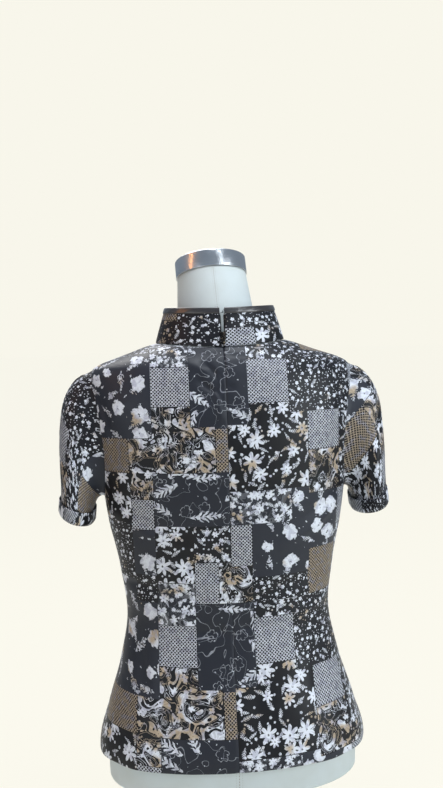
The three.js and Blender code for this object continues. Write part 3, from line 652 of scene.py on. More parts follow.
def binding_surface(along, across):
    """The bias strip that wraps the collar's top edge."""
    share = np.ones_like(along)
    start = collar_start(share)
    turn = start + (2 * np.pi - 2 * start) * clustered(along, 0.9)
    outer, inner, drop, top, face = BINDING.values()
    out_bulge = 0.22 * np.sin(np.pi * np.clip(across / face, 0, 1))
    bend = np.clip((across - face) / (1 - 2 * face), 0, 1) * np.pi
    up = np.where(across < face, -drop * (1 - across / face),
                  np.where(across > 1 - face, -drop * (across - 1 + face) / face,
                           top * np.sin(bend)))
    middle, half = (outer + inner) / 2, (outer - inner) / 2
    out = np.where(across < face, outer + out_bulge,
                   np.where(across > 1 - face, inner, middle + half * np.cos(bend)))
    tuck = np.exp(-((up + drop) / 0.7) ** 2) * np.where(across < 0.5, -0.75, 0.5)
    length = turn * COLLAR_RADIUS
    pull = 0.13 * np.sin(length / 2.6 + up / 1.6 + np.sin(length / 17))
    pull = pull * np.sin(np.pi * np.clip(across / face, 0, 1))
    out = out + tuck + pull
    normal = collar_normal(turn, share)
    slope = unit(collar_head(turn) - collar_foot(turn))
    points = collar_head(turn) + normal * out[:, None] + slope * up[:, None]
    return points, np.stack([length, up + 12 * across], axis=-1)


# ---------------------------------------------------------------- making meshes

def mesh_from(bm, name):
    mesh = bpy.data.meshes.new(name)
    bm.to_mesh(mesh)
    bm.free()
    return mesh


def finish_piece(name, mesh, material, body="worn_top", replaces=()):
    obj = bpy.data.objects.new(name, mesh)
    bpy.context.scene.collection.objects.link(obj)
    mesh.materials.clear()
    mesh.materials.append(material)
    mesh.polygons.foreach_set("use_smooth", [True] * len(mesh.polygons))
    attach(obj, body)
    if replaces:
        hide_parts(*replaces)
    return obj


def mapped_grid(name, columns, rows, place, close=False, fill=False, centre=(0, 0)):
    """A flat grid whose shares across and down are mapped into place. Points are in
    millimetres, and places on the cut become the piece's UV map, in metres."""
    bm = bmesh.new()
    bmesh.ops.create_grid(bm, x_segments=columns, y_segments=rows, size=0.5)
    mesh = mesh_from(bm, name)
    count = len(mesh.vertices)
    flat = np.empty(count * 3, np.float32)
    mesh.vertices.foreach_get("co", flat)
    flat = flat.reshape(-1, 3).astype(float) + 0.5
    points, cut = place(np.clip(flat[:, 0], 0, 1), np.clip(flat[:, 1], 0, 1))
    mesh.vertices.foreach_set("co", (points * MM).astype(np.float32).ravel())
    corners = np.empty(len(mesh.loops), np.int32)
    mesh.loops.foreach_get("vertex_index", corners)
    layer = mesh.uv_layers.new(name="cut")
    layer.data.foreach_set("uv", (cut[corners] * MM).astype(np.float32).ravel())
    bm = bmesh.new()
    bm.from_mesh(mesh)
    if close:
        bmesh.ops.remove_doubles(bm, verts=bm.verts, dist=1e-5)
    if fill:
        bmesh.ops.holes_fill(bm, edges=[e for e in bm.edges if e.is_boundary], sides=0)
        bmesh.ops.recalc_face_normals(bm, faces=bm.faces)
    face_outward(bm, centre)
    bm.to_mesh(mesh)
    bm.free()
    mesh.update()
    return mesh


def face_outward(bm, centre):
    """Turns a shell's faces away from an upright line through the centre."""
    facing = 0
    for face in list(bm.faces)[::7]:
        middle = face.calc_center_median()
        away = Vector((middle.x - centre[0], middle.y - centre[1], 0))
        facing += face.normal.dot(away) * face.calc_area()
    if facing < 0:
        bmesh.ops.reverse_faces(bm, faces=bm.faces)


def thicken(obj, thickness):
    wall = obj.modifiers.new("Cloth", "SOLIDIFY")
    wall.thickness = thickness * MM
    wall.offset = -1
    wall.use_even_offset = False
    wall.use_rim = True


def turned(name, profile, steps, matrix, bevel=0.0):
    """A profile of radius and height, spun round the upright axis, in millimetres."""
    bm = bmesh.new()
    verts = [bm.verts.new((radius, 0, up)) for radius, up in profile]
    edges = [bm.edges.new(pair) for pair in zip(verts, verts[1:])]
    bmesh.ops.spin(bm, geom=verts + edges, cent=(0, 0, 0), axis=(0, 0, 1),
                   angle=2 * math.pi, steps=steps, use_merge=True)
    bmesh.ops.remove_doubles(bm, verts=bm.verts, dist=1e-3)
    bmesh.ops.recalc_face_normals(bm, faces=bm.faces)
    if bevel:
        round_edges(bm, bevel, 3, 35)
    bmesh.ops.transform(bm, matrix=Matrix.Scale(MM, 4) @ matrix, verts=bm.verts)
    return mesh_from(bm, name)


def round_edges(bm, width, segments, least_degrees):
    sharp = [e for e in bm.edges if len(e.link_faces) == 2
             and e.calc_face_angle(0) > math.radians(least_degrees)]
    bmesh.ops.bevel(bm, geom=sharp, offset=width, affect="EDGES", segments=segments,
                    profile=0.5, material=-1, clamp_overlap=True)


def softened_copy(name, node, bevel):
    """A merged copy of a hard CAD node with its edges rounded."""
    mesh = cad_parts[node].data.copy()
    mesh.name = name
    bm = bmesh.new()
    bm.from_mesh(mesh)
    bmesh.ops.remove_doubles(bm, verts=bm.verts, dist=1e-6)
    bmesh.ops.dissolve_limit(bm, angle_limit=math.radians(1.5), verts=bm.verts, edges=bm.edges)
    round_edges(bm, bevel * MM, 2, 30)
    bm.to_mesh(mesh)
    bm.free()
    return mesh


# ---------------------------------------------------------------- finishes

class Amount:
    """A number that varies over a surface. Arithmetic on it adds Math nodes."""

    def __init__(self, finish, socket):
        self.finish = finish
        self.socket = socket

    def math(self, operation, *others):
        inputs = dict(enumerate((self,) + others))
        node = self.finish.node("ShaderNodeMath", {"operation": operation}, inputs)
        return Amount(self.finish, node.outputs[0])

    def turned_round(self, operation, other):
        node = self.finish.node("ShaderNodeMath", {"operation": operation}, {0: other, 1: self})
        return Amount(self.finish, node.outputs[0])

    def __rsub__(self, other):
        return self.turned_round("SUBTRACT", other)

    def __rtruediv__(self, other):
        return self.turned_round("DIVIDE", other)

    def within(self, start, end):
        """0 at start and 1 at end, smoothly."""
        node = self.finish.node("ShaderNodeMapRange", {"interpolation_type": "SMOOTHSTEP"},
                                {0: self, 1: start, 2: end, 3: 0.0, 4: 1.0})
        return Amount(self.finish, node.outputs[0])


def math_method(operation):
    return lambda self, *others: self.math(operation, *others)


for method, operation in (
        ("__add__", "ADD"), ("__radd__", "ADD"), ("__sub__", "SUBTRACT"),
        ("__mul__", "MULTIPLY"), ("__rmul__", "MULTIPLY"), ("__truediv__", "DIVIDE"),
        ("__pow__", "POWER"), ("__abs__", "ABSOLUTE"), ("__lt__", "LESS_THAN"),
        ("__gt__", "GREATER_THAN"), ("fract", "FRACT"), ("least", "MINIMUM"),
        ("most", "MAXIMUM")):
    setattr(Amount, method, math_method(operation))


class Finish:
    """A material and the nodes that make it."""

    def __init__(self, name):
        self.material = bpy.data.materials.new(name)
        self.material.use_nodes = True
        self.tree = self.material.node_tree
        self.tree.nodes.clear()

    def node(self, kind, settings=None, inputs=None):
        node = self.tree.nodes.new(kind)
        for name, value in (settings or {}).items():
            if name == "stops":
                set_stops(node.color_ramp, value)
            elif name == "interpolation" and kind == "ShaderNodeValToRGB":
                node.color_ramp.interpolation = value
            else:
                setattr(node, name, value)
        for name, value in (inputs or {}).items():
            socket = node.inputs[name]
            if isinstance(value, Amount):
                value = value.socket
            if isinstance(value, bpy.types.NodeSocket):
                self.tree.links.new(value, socket)
            else:
                socket.default_value = value
        return node

    def cut(self):
        """Places on the flat cut, in metres."""
        return self.node("ShaderNodeUVMap", {"uv_map": "cut"}).outputs[0]

    def place(self):
        return self.node("ShaderNodeTexCoord").outputs["Object"]

    def amount(self, socket):
        return Amount(self, socket)

    def parts(self, vector):
        node = self.node("ShaderNodeSeparateXYZ", None, {0: vector})
        return tuple(Amount(self, output) for output in node.outputs)

    def vector(self, operation, first, *others):
        inputs = {0: first}
        for index, value in enumerate(others):
            inputs[index + 1] = value
        node = self.node("ShaderNodeVectorMath", {"operation": operation}, inputs)
        return node.outputs["Value" if operation == "LENGTH" else "Vector"]

    def scaled(self, vector, factor):
        node = self.node("ShaderNodeVectorMath", {"operation": "SCALE"},
                         {0: vector, "Scale": factor})
        return node.outputs["Vector"]

    def noise(self, vector, scale, detail=2.0, distortion=0.0, roughness=0.5):
        node = self.node("ShaderNodeTexNoise", {"noise_dimensions": "3D"}, {
            "Vector": vector, "Scale": scale, "Detail": detail, "Distortion": distortion,
            "Roughness": roughness})
        return Amount(self, node.outputs[0])

    def ramp(self, amount, stops, interpolation="CONSTANT"):
        node = self.node("ShaderNodeValToRGB", {"interpolation": interpolation, "stops": stops},
                         {0: amount})
        return node.outputs[0]

    def mix(self, share, first, second, blend="MIX"):
        node = self.node("ShaderNodeMix", {"data_type": "RGBA", "blend_type": blend},
                         {0: share, 6: first, 7: second})
        return node.outputs[2]

    def bump(self, height, distance, strength):
        return self.node("ShaderNodeBump", None, {
            "Height": height, "Distance": distance, "Strength": strength}).outputs[0]

    def surface(self, inputs):
        shader = self.node("ShaderNodeBsdfPrincipled", None, inputs)
        self.node("ShaderNodeOutputMaterial", None, {0: shader.outputs[0]})
        return self.material


def set_stops(ramp, stops):
    while len(ramp.elements) > 1:
        ramp.elements.remove(ramp.elements[-1])
    for index, (position, colour) in enumerate(stops):
        element = ramp.elements[0] if index == 0 else ramp.elements.new(position)
        element.position = position
        element.color = tuple(colour) + (1.0,)


def rgba(colour):
    return tuple(colour)[:3] + (1.0,)


def toned(colour, factor, added=0.0):
    return rgba([c * factor + added for c in tuple(colour)[:3]])


# One row for each kind of patch. Sizes are in millimetres; the rest are shares from 0 to 1.
MOTIFS = {
    "cell": (33, 17, 10, 34, 22, 27, 9.6, 14, 11.5, 10),  # spacing of the large flowers
    "petals": (4, 6, 1, 5, 4, 7, 5, 6, 5, 1),
    "reach": (0.38, 0.42, 0, 0.33, 0.26, 0.5, 0.3, 0.38, 0.3, 0),
    "cut": (0.2, 0.5, 0, 0.42, 0.5, 0.62, 0.4, 0.5, 0.4, 0),
    "narrow": (0.6, 1.2, 1, 0.7, 0.9, 1.25, 0.9, 1.3, 0.9, 1),  # how pointed the petals are
    "outline": (0, 0, 0, 1, 0, 0, 0, 0, 0, 0),
    "small": (15, 9, 10, 17, 12, 11, 4.6, 6.8, 5.5, 10),  # spacing of the filling flowers
    "filling": (0.1, 0.32, 0, 0.06, 0.1, 0.2, 0.19, 0.27, 0.2, 0),
    "leaf": (25, 13, 10, 36, 17, 14, 11, 12, 14, 10),  # spacing of the sprigs
    "leafy": (0.5, 1, 0, 0.6, 0.3, 0.6, 0.15, 0.8, 0.4, 0),
    "ragged": (0.3, 0.12, 0, 0.13, 0.2, 0.06, 0.05, 0.08, 0.06, 0),
    "swirl": (0, 0.15, 0, 0, 1, 0, 0, 0, 0, 0),
    "lattice": (0, 0, 1, 0, 0, 0, 0, 0, 0, 1),
    "slate": (1, 0.7, 0.05, 0.8, 0, 0, 0.12, 0.1, 0, 0),
    # The warm row tints motifs tan in blotches: partly tan print, partly painted warm light where
    # the cloth lies in shade.
    "tan_print_and_painted_warm_light": (0.3, 0.3, 0, 0, 0.46, 0.34, 0.28, 0.33, 1, 1),
}


def motif_stops(names, scales):
    """Ramp stops that hold up to three columns of the motif table, one stop a kind."""
    stops = []
    for index in range(len(KINDS)):
        values = [MOTIFS[name][index] / scale for name, scale in zip(names, scales)]
        stops.append((index / len(KINDS), values + [0.0] * (3 - len(values))))
    return stops


def patch_kind(finish, place, columns):
    """Which kind of patch a place on the cloth lies in, as a number from 0 to 1."""
    wrapped = finish.vector("WRAP", place, (REPEAT[0] / 2, REPEAT[1], 1),
                            (-REPEAT[0] / 2, 0, -1))
    u, v, _ = finish.parts(wrapped)
    level = v / REPEAT[1]
    kind = None
    for left, patches in columns:
        stops, start = [], 0
        for name, end in patches:
            code = (KINDS.index(name) + 0.5) / len(KINDS)
            stops.append((start / REPEAT[1], (code, code, code)))
            start = end
        here = finish.amount(finish.ramp(level, stops))
        kind = here if kind is None else kind + (here - kind) * (u > left)
    return kind


def flowers(finish, place, cell, petals, reach, cut, narrow, heart):
    """Scattered flowers with lobed edges: their solid shape, outline and tone."""
    spots = finish.node("ShaderNodeTexVoronoi", {"voronoi_dimensions": "2D"},
                        {"Vector": place, "Scale": 1 / cell, "Randomness": 0.85})
    local = finish.vector("SUBTRACT", place, spots.outputs["Position"])
    x, y, _ = finish.parts(local)
    turn, size, present = finish.parts(spots.outputs["Color"])
    away = finish.amount(finish.vector("LENGTH", local)) / cell
    angle = y.math("ARCTAN2", x) + turn * FULL_TURN
    lobe = abs((angle * petals * 0.5).math("COSINE")) ** narrow
    edge = reach * (size * 0.45 + 0.55) * (1 - cut + cut * lobe)
    solid = (edge - away).within(-0.012, 0.012) * (away > edge * heart)
    outline = abs(edge - away) < 0.011
    vein = abs((angle * petals * 1.5).math("COSINE"))
    tone = 1 - 0.3 * vein * (away / reach.most(0.05)).least(1)
    return solid * (present > 0.16), outline * (present > 0.3), tone


def sprigs(finish, place, cell, share):
    """Scattered stems with pairs of slanting leaves, in a share of the places for them."""
    moved = finish.vector("ADD", place, SPRIG_SHIFT)
    spots = finish.node("ShaderNodeTexVoronoi", {"voronoi_dimensions": "2D"},
                        {"Vector": moved, "Scale": 1 / cell, "Randomness": 0.9})
    local = finish.vector("SUBTRACT", moved, spots.outputs["Position"])
    turn, size, chance = finish.parts(spots.outputs["Color"])
    rotated = finish.node("ShaderNodeVectorRotate", {"rotation_type": "Z_AXIS"},
                          {"Vector": local, "Angle": turn * FULL_TURN}).outputs[0]
    x, y, _ = finish.parts(rotated)
    side = abs(y) / cell
    along = x / cell
    leaf = abs((along * 5.2 - side * 5.5 + 0.2).fract() - 0.5)
    longest = 0.27 - abs(along) * 0.42
    shape = (leaf < (0.36 - side * 1.1)) * (side < longest * (size * 0.5 + 0.5))
    stem = (side < 0.014) * (abs(along) < 0.44)
    return shape.most(stem) * (chance < share)


def printed_satin(name, settings, shift, columns=COLUMNS):
    """Black satin printed with a patchwork of small florals and checks, some motifs tinted tan,
    partly as tan print and partly as painted warm light in shaded places. Shift moves the repeat
    on the cut, in millimetres."""
    finish = Finish(name)
    cut = finish.cut()
    place = finish.node("ShaderNodeMapping", {"vector_type": "POINT"},
                        {"Vector": cut, "Scale": (1000, -1000, 0),
                         "Location": (shift[0], shift[1], 0)}).outputs[0]
    kind = patch_kind(finish, place, columns)
    corner = patch_kind(finish, finish.vector("ADD", place, BORDER_SHIFT), columns)
    border = abs(kind - corner) > 0.01

    def motif(*columns):
        scales = [max(max(MOTIFS[column]), 1) for column in columns]
        held = finish.parts(finish.ramp(kind, motif_stops(columns, scales)))
        return [part * scale if scale > 1 else part for part, scale in zip(held, scales)]

    cell, petals, reach = motif("cell", "petals", "reach")
    cut_depth, outline_share, filling = motif("cut", "outline", "filling")
    small, leaf_cell, leafy = motif("small", "leaf", "leafy")
    swirl_share, lattice_share, slate = motif("swirl", "lattice", "slate")
    ragged, narrow, tan_print_and_warm_light_share = motif("ragged", "narrow", "tan_print_and_painted_warm_light")

    wobble = finish.node("ShaderNodeTexNoise", {"noise_dimensions": "2D"},
                         {"Vector": place, "Scale": 0.16, "Detail": 3.0}).outputs["Color"]
    shaken = finish.vector("ADD", place, finish.scaled(
        finish.vector("SUBTRACT", wobble, (0.5, 0.5, 0.5)), cell * ragged))
    large, outline, tone = flowers(finish, shaken, cell, petals, reach, cut_depth, narrow, 0.14)
    little, _, _ = flowers(finish, finish.vector("ADD", shaken, FILLING_SHIFT), small, 5,
                           filling, 0.3, 0.8, 0.1)
    leaves = sprigs(finish, shaken, leaf_cell, leafy)
    scroll = finish.noise(place, 0.038, 1.2, 1.7, 0.55)
    scroll_line = (abs(scroll - 0.47) < 0.008).most(abs(scroll - 0.41) < 0.006)
    scroll_body = (scroll - 0.56).within(0, 0.01) * (scroll < 0.68)
    swirl = scroll_body.most(scroll_line) * swirl_share
    stems = (abs(finish.noise(place, 0.03, 1.0, 1.2) - 0.5) < 0.006) * outline_share
    u, v, _ = finish.parts(place)
    slants = [(way / CHECK_PERIOD).fract() for way in (u + v, u - v)]
    weave = abs(slants[0] - 0.5).most(abs(slants[1] - 0.5))
    lattice = (weave - 0.345).within(-0.02, 0.02) * lattice_share * 0.85
    solid = large * (1 - outline_share)
    drawn = outline * outline_share * 0.42
    white = solid.most(little).most(leaves * 0.92).most(drawn).most(stems * 0.36)
    white = white.most(swirl).most(lattice) * (1 - border)

    # Painted warm light, partly tan print: motifs turn tan in noisy blotches, more so in the
    # kinds that stand for shaded places.
    tan_print_and_painted_warm_light = (finish.noise(place, 0.035, 1.0) + tan_print_and_warm_light_share - 0.8).within(0.08, 0.2)
    ink = finish.mix(tan_print_and_painted_warm_light, rgba(settings.ink), rgba(settings.tan_print_and_warm_light_ink))
    lilac = finish.noise(finish.vector("ADD", place, LILAC_SHIFT), 0.12, 1.0)
    ink = finish.mix(lilac.within(0.5, 0.62) * 0.6, ink, rgba(settings.lilac_ink))
    shade = tone * (finish.noise(place, 0.9, 1.0) * 0.3 + 0.85)
    grey = finish.node("ShaderNodeCombineXYZ", None, {0: shade, 1: shade, 2: shade}).outputs[0]
    ink = finish.mix(1.0, ink, grey, "MULTIPLY")
    ground = finish.mix(slate, rgba(settings.ground), rgba(settings.slate))
    colour = finish.mix(white, ground, ink)
    crinkle = finish.noise(cut, 95.0, 3.0)
    normal = finish.bump(crinkle, 0.0012, 0.35)
    return finish.surface({
        "Base Color": colour,
        "Roughness": 0.4 + crinkle * 0.14 + white * 0.1,
        "Specular IOR Level": 0.3,
        "Normal": normal,
    })


def plain_satin(name, colour):
    finish = Finish(name)
    cut = finish.cut()
    slub = finish.noise(cut, 420.0, 2.0)
    tone = slub.within(0.3, 0.7) * 0.25
    base = finish.mix(tone, rgba(colour), toned(colour, 2.2, 0.006))
    return finish.surface({
        "Base Color": base,
        "Roughness": 0.24 + slub * 0.16,
        "Specular IOR Level": 0.8,
        "Coat Weight": 0.6,
        "Coat Roughness": 0.24,
        "Normal": finish.bump(slub, 0.0004, 0.5),
    })


def linen(name, settings):
    """The form's tightly woven cover, with its stitched seams."""
    finish = Finish(name)
    cut = finish.cut()
    u, v, _ = finish.parts(cut)
    warp = abs((u * 1400).fract() - 0.5)
    weft = abs((v * 1400).fract() - 0.5)
    slub = finish.noise(finish.vector("MULTIPLY", cut, (1.0, 0.12, 1)), 900.0, 3.0)
    cloud = finish.noise(cut, 22.0, 3.0)
    seam = (1 - abs(u).within(0.0001, 0.0005)) * ((v * 260).fract() < 0.6)
    beside = (abs(abs(u) - 0.0026) < 0.0003) * ((v * 330).fract() < 0.55)
    base = finish.mix(cloud.within(0.3, 0.75) * 0.5, rgba(settings.linen),
                      rgba(settings.linen_shade))
    base = finish.mix((seam * 0.85).most(beside * 0.25), base, rgba(settings.seam))
    height = (warp + weft) * 0.25 + slub * 0.5 - seam * 1.6 - beside * 0.5
    return finish.surface({
        "Base Color": base,
        "Roughness": 0.82 + slub * 0.12,
        "Normal": finish.bump(height, 0.0006, 0.6),
    })


def brushed_metal(name, colour, around):
    """Turned steel with fine rings. Around turns the rings to lie along the piece."""
    finish = Finish(name)
    place = finish.place()
    flat = finish.node("ShaderNodeMapping", None,
                       {"Vector": place, "Rotation": around, "Scale": (1, 1, 260)}).outputs[0]
    rings = finish.noise(flat, 9.0, 4.0)
    wear_and_painted_glint = finish.noise(place, 45.0, 3.0)
    base = finish.mix(wear_and_painted_glint.within(0.35, 0.75) * 0.4, rgba(colour), toned(colour, 0.72))
    return finish.surface({
        "Base Color": base,
        "Metallic": 1.0,
        "Roughness": 0.17 + rings * 0.12,
        "Anisotropic": 0.5,
        "Normal": finish.bump(rings, 0.0002, 0.5),
    })


def black_metal(name, colour, wear_and_painted_glint):
    """Lacquered metal with beige patches, partly rubbed bright metal and partly painted glints.
    """
    finish = Finish(name)
    place = finish.place()
    grain = finish.noise(place, 1900.0, 3.0)
    # Painted glints: beige metallic patches stand in for the slider's and pull's highlights,
    # partly also rubbed wear; the third argument sets how many.
    rubbed_wear_and_painted_glint = finish.noise(place, 420.0, 2.0).within(0.55, 0.72)
    base = finish.mix(rubbed_wear_and_painted_glint * wear_and_painted_glint, rgba(colour), (0.5, 0.4, 0.27, 1))
    return finish.surface({
        "Base Color": base,
        "Metallic": 0.85,
        "Roughness": 0.22 + grain * 0.2,
        "Normal": finish.bump(grain, 0.0001, 0.4),
    })


def zip_tape(name, colour):
    """A narrow woven herringbone tape."""
    finish = Finish(name)
    place = finish.place()
    x, _, z = finish.parts(place)
    fold = abs((x * 260).fract() - 0.5)
    rib = abs((z * 1300 + fold * 1.6).fract() - 0.5)
    base = finish.mix(rib * 1.2, rgba(colour), toned(colour, 2.6, 0.01))
    return finish.surface({
        "Base Color": base,
        "Roughness": 0.72 + rib * 0.2,
        "Normal": finish.bump(rib, 0.0004, 0.7),
    })


# ---------------------------------------------------------------- settings

def colour_setting(name, description, default):
    return FloatVectorProperty(name=name, description=description, default=default,
                               subtype="COLOR", size=3, min=0.0, max=1.0)


def size_setting(name, description, default, least, most):
    return FloatProperty(name=name, description=description, default=default, min=least,
                         max=most, subtype="DISTANCE", unit="LENGTH")


class ClothSettings(bpy.types.PropertyGroup):
    thickness: size_setting("Cloth", "Thickness of the satin", 0.0008, 0.0003, 0.0011)
    ground: colour_setting("Ground", "Black of the satin", (0.003, 0.003, 0.005))
    slate: colour_setting("Slate", "Blue grey of the lighter patches", (0.019, 0.022, 0.032))
    ink: colour_setting("Ink", "White of the motifs", (0.72, 0.75, 0.82))
    # The tan ink is partly printed tan and partly painted warm light on motifs in shade.
    tan_print_and_warm_light_ink: colour_setting("Warm ink", "Tan of some motifs", (0.46, 0.37, 0.27))
    lilac_ink: colour_setting("Lilac ink", "Lilac grey of some motifs", (0.4, 0.41, 0.52))
    binding: colour_setting("Binding", "Colour of the collar's binding", (0.012, 0.009, 0.01))


class FormSettings(bpy.types.PropertyGroup):
    linen: colour_setting("Linen", "Colour of the form's cover", (0.6, 0.66, 0.67))
    linen_shade: colour_setting("Linen shade", "The cover's darker areas", (0.54, 0.58, 0.56))
    seam: colour_setting("Seam", "Colour in the cover's seams", (0.3, 0.26, 0.21))
    steel: colour_setting("Steel", "Colour of the brushed metal", (0.58, 0.6, 0.63))
    segments: IntProperty(name="Segments", description="Steps round each turned piece",
                          default=128, min=32, max=256)


class ZipSettings(bpy.types.PropertyGroup):
    tooth: size_setting("Tooth spacing", "Distance between the coil's turns", 0.00125,
                        0.0008, 0.003)
    tape: colour_setting("Tape", "Colour of the zip's tape", (0.008, 0.008, 0.009))
    metal: colour_setting("Metal", "Colour of the slider and the hook", (0.02, 0.018, 0.018))
    edge: size_setting("Rounded edge", "Radius on the metal's edges", 0.00025, 0.0, 0.0006)


class StudioSettings(bpy.types.PropertyGroup):
    backdrop: colour_setting("Backdrop", "Colour of the floor and surroundings",
                             (0.939, 0.922, 0.831))
    distance: size_setting("Camera distance", "From the camera to the form's middle", 1.15,
                           0.5, 4.0)
    azimuth: FloatProperty(name="Azimuth", description="Where the camera stands round the form",
                           default=math.radians(176), subtype="ANGLE", unit="ROTATION")
    lens: FloatProperty(name="Lens", description="Focal length in millimetres", default=37.8,
                        min=10, max=200)


# ---------------------------------------------------------------- operators

class QIPAO_OT_dress_form(bpy.types.Operator):
    """Add the limbless form, its neck, its cap and its stand"""
    bl_idname = "qipao.dress_form"
    bl_label = "Dress form"

    def execute(self, context):
        settings = context.scene.qipao_form
        cover = linen("form_linen", settings)
        steel = brushed_metal("form_steel", settings.steel, (0, 0, 0))
        torso = mapped_grid("form_cover", 160, 200, form_surface, close=True, fill=True)
        finish_piece("form_cover", torso, cover, replaces=["form_torso"])
        lean = (Matrix.Translation(NECK_ROOT) @ Matrix.Rotation(NECK_SIDE_LEAN, 4, "Y")
                @ Matrix.Rotation(NECK_LEAN, 4, "X") @ Matrix.Diagonal((1, NECK_FLATNESS, 1, 1)))
        neck = mapped_grid("neck_cover", 128, 60, neck_surface(lean), close=True, fill=True)
        finish_piece("neck_cover", neck, cover, replaces=["form_torso"])
        bottom = NECK["up"][-1] + CAP_GAP
        cap = turned("cap", [(radius, bottom + up) for radius, up in CAP_PROFILE],
                     settings.segments, lean, bevel=0.6)
        finish_piece("cap", cap, brushed_metal("cap_steel", settings.steel,
                                               (-NECK_LEAN, -NECK_SIDE_LEAN, 0)),
                     replaces=["neck_cap"])
        pole = turned("pole", POLE_PROFILE, 48, Matrix.Identity(4))
        finish_piece("pole", pole, steel, replaces=["stand_pole"])
        base = turned("base", BASE_PROFILE, settings.segments, Matrix.Identity(4), bevel=0.7)
        finish_piece("base", base, steel, replaces=["stand_base"])
        return {"FINISHED"}


def form_surface(around, down):
    angle = 2 * np.pi * (around - 0.5)
    first, last = FIGURE["drop"][0], FIGURE["drop"][-1]
    drop = first + (last - first) * down
    points = form_point(angle, drop)
    half = figure("half", drop)
    return points, np.stack([angle * half, NECK_POINT_HEIGHT - drop], axis=-1)


def neck_surface(lean):
    def place(around, up):
        angle = 2 * np.pi * (around - 0.5)
        rise = NECK["up"][0] + (NECK["up"][-1] - NECK["up"][0]) * up
        radius = np.interp(rise, NECK["up"], NECK["radius"])
        # The centre back seam is at the angle where y is greatest.
        local = np.stack([radius * np.sin(angle), radius * np.cos(angle), rise], axis=-1)
        matrix = np.array(lean)
        points = local @ matrix[:3, :3].T + matrix[:3, 3]
        return points, np.stack([angle * radius, rise], axis=-1)
    return place


class QIPAO_OT_panels(bpy.types.Operator):
    """Add the two back panels and the front panel"""
    bl_idname = "qipao.panels"
    bl_label = "Back and front panels"

    def execute(self, context):
        settings = context.scene.qipao_cloth
        back = printed_satin("print_back", settings, (0, 0))
        front = printed_satin("print_front", settings, (176, 150))
        panels = (
            ("back_left_panel", "back_left", BACK_FACE, 0, 1, back, 72, 300),
            ("back_right_panel", "back_right", BACK_FACE, -1, 0, back, 72, 300),
            ("front_panel", "front", FRONT_FACE, -1, 1, front, 150, 300),
        )
        for name, node, face, first, last, finish, columns, rows in panels:
            mesh = mapped_grid(name, columns, rows, panel_surface(face, first, last))
            obj = finish_piece(name, mesh, finish, replaces=[node])
            thicken(obj, settings.thickness / MM)
        return {"FINISHED"}


class QIPAO_OT_sleeves(bpy.types.Operator):
    """Add the two set-in sleeves"""
    bl_idname = "qipao.sleeves"
    bl_label = "Sleeves"

    def execute(self, context):
        settings = context.scene.qipao_cloth
        for side, word, shift in ((1, "left", (96, 40)), (-1, "right", (-60, 96))):
            mesh = mapped_grid("sleeve_" + word + "_cloth", 150, 96, sleeve_surface(side),
                               close=True, centre=(0.195 * side, -0.007))
            finish = printed_satin("print_sleeve_" + word, settings, shift)
            obj = finish_piece("sleeve_" + word + "_cloth", mesh, finish,
                               replaces=["sleeve_" + word])
            thicken(obj, settings.thickness / MM)
        return {"FINISHED"}


class QIPAO_OT_collar(bpy.types.Operator):
    """Add the stand collar and its satin binding"""
    bl_idname = "qipao.collar"
    bl_label = "Collar"

    def execute(self, context):
        settings = context.scene.qipao_cloth
        finish = printed_satin("print_collar", settings, (0, 0), COLLAR_COLUMNS)
        mesh = mapped_grid("collar_cloth", 420, 40, collar_surface)
        collar = finish_piece("collar_cloth", mesh, finish, replaces=["collar"])
        thicken(collar, COLLAR_WALL - 0.1)
        mesh = mapped_grid("collar_binding_strip", 900, 36, binding_surface)
        binding = finish_piece("collar_binding_strip", mesh,
                               plain_satin("binding_satin", settings.binding),
                               replaces=["collar_binding"])
        thicken(binding, 0.55)
        return {"FINISHED"}


class QIPAO_OT_zip(bpy.types.Operator):
    """Add the zip's tape, coil, slider and pull"""
    bl_idname = "qipao.zip"
    bl_label = "Back zip"

    def execute(self, context):
        settings = context.scene.qipao_zip
        tape = zip_tape("zip_tape", settings.tape)
        for word in ("left", "right"):
            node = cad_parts["zip_tape_" + word]
            node.data.materials.clear()
            node.data.materials.append(tape)
        # The slider and pull get many beige patches: painted glints, partly rubbed wear.
        metal = black_metal("zip_metal", settings.metal, 0.8)
        slider = softened_copy("slider", "zip_slider", settings.edge / MM)
        finish_piece("slider", slider, metal, replaces=["zip_slider"])
        pull = softened_copy("pull", "zip_pull", settings.edge / MM)
        finish_piece("pull", pull, metal, body="pull_tab", replaces=["zip_pull"])
        for side, word in ((1, "left"), (-1, "right")):
            mesh = coil_teeth("coil_" + word, side, settings.tooth / MM)
            finish_piece("coil_" + word, mesh, tape)
        return {"FINISHED"}


def coil_teeth(name, side, spacing):
    """The coil's turns along one edge of the open part of the collar."""
    bm = bmesh.new()
    rises = np.arange(COIL["from"], COIL["to"], spacing)
    shares = share_at_rise(rises)
    turns = collar_turn(np.maximum(opening_half(rises) - COIL["inset"], COIL["least"]), shares)
    spots = collar_point(turns, shares) - collar_normal(turns, shares) * COIL["behind"]
    for spot in spots * MM * np.array([side, 1, 1]):
        place = Matrix.Translation(Vector(spot))
        bmesh.ops.create_icosphere(bm, subdivisions=1, radius=1.0, matrix=place @ COIL_TURN)
    return mesh_from(bm, name)


class QIPAO_OT_hook_and_eye(bpy.types.Operator):
    """Add the hook and the eye that close the collar's top"""
    bl_idname = "qipao.hook_and_eye"
    bl_label = "Hook and eye"

    def execute(self, context):
        settings = context.scene.qipao_zip
        # The hook gets few beige patches: painted glints, partly rubbed wear.
        metal = black_metal("hook_metal", settings.metal, 0.1)
        for name, node in (("hook", "collar_hook"), ("eye", "collar_eye")):
            mesh = softened_copy(name, node, 0.0)
            obj = finish_piece(name, mesh, metal, replaces=[node])
            rounder = obj.modifiers.new("Round", "SUBSURF")
            rounder.levels = rounder.render_levels = 2
        return {"FINISHED"}


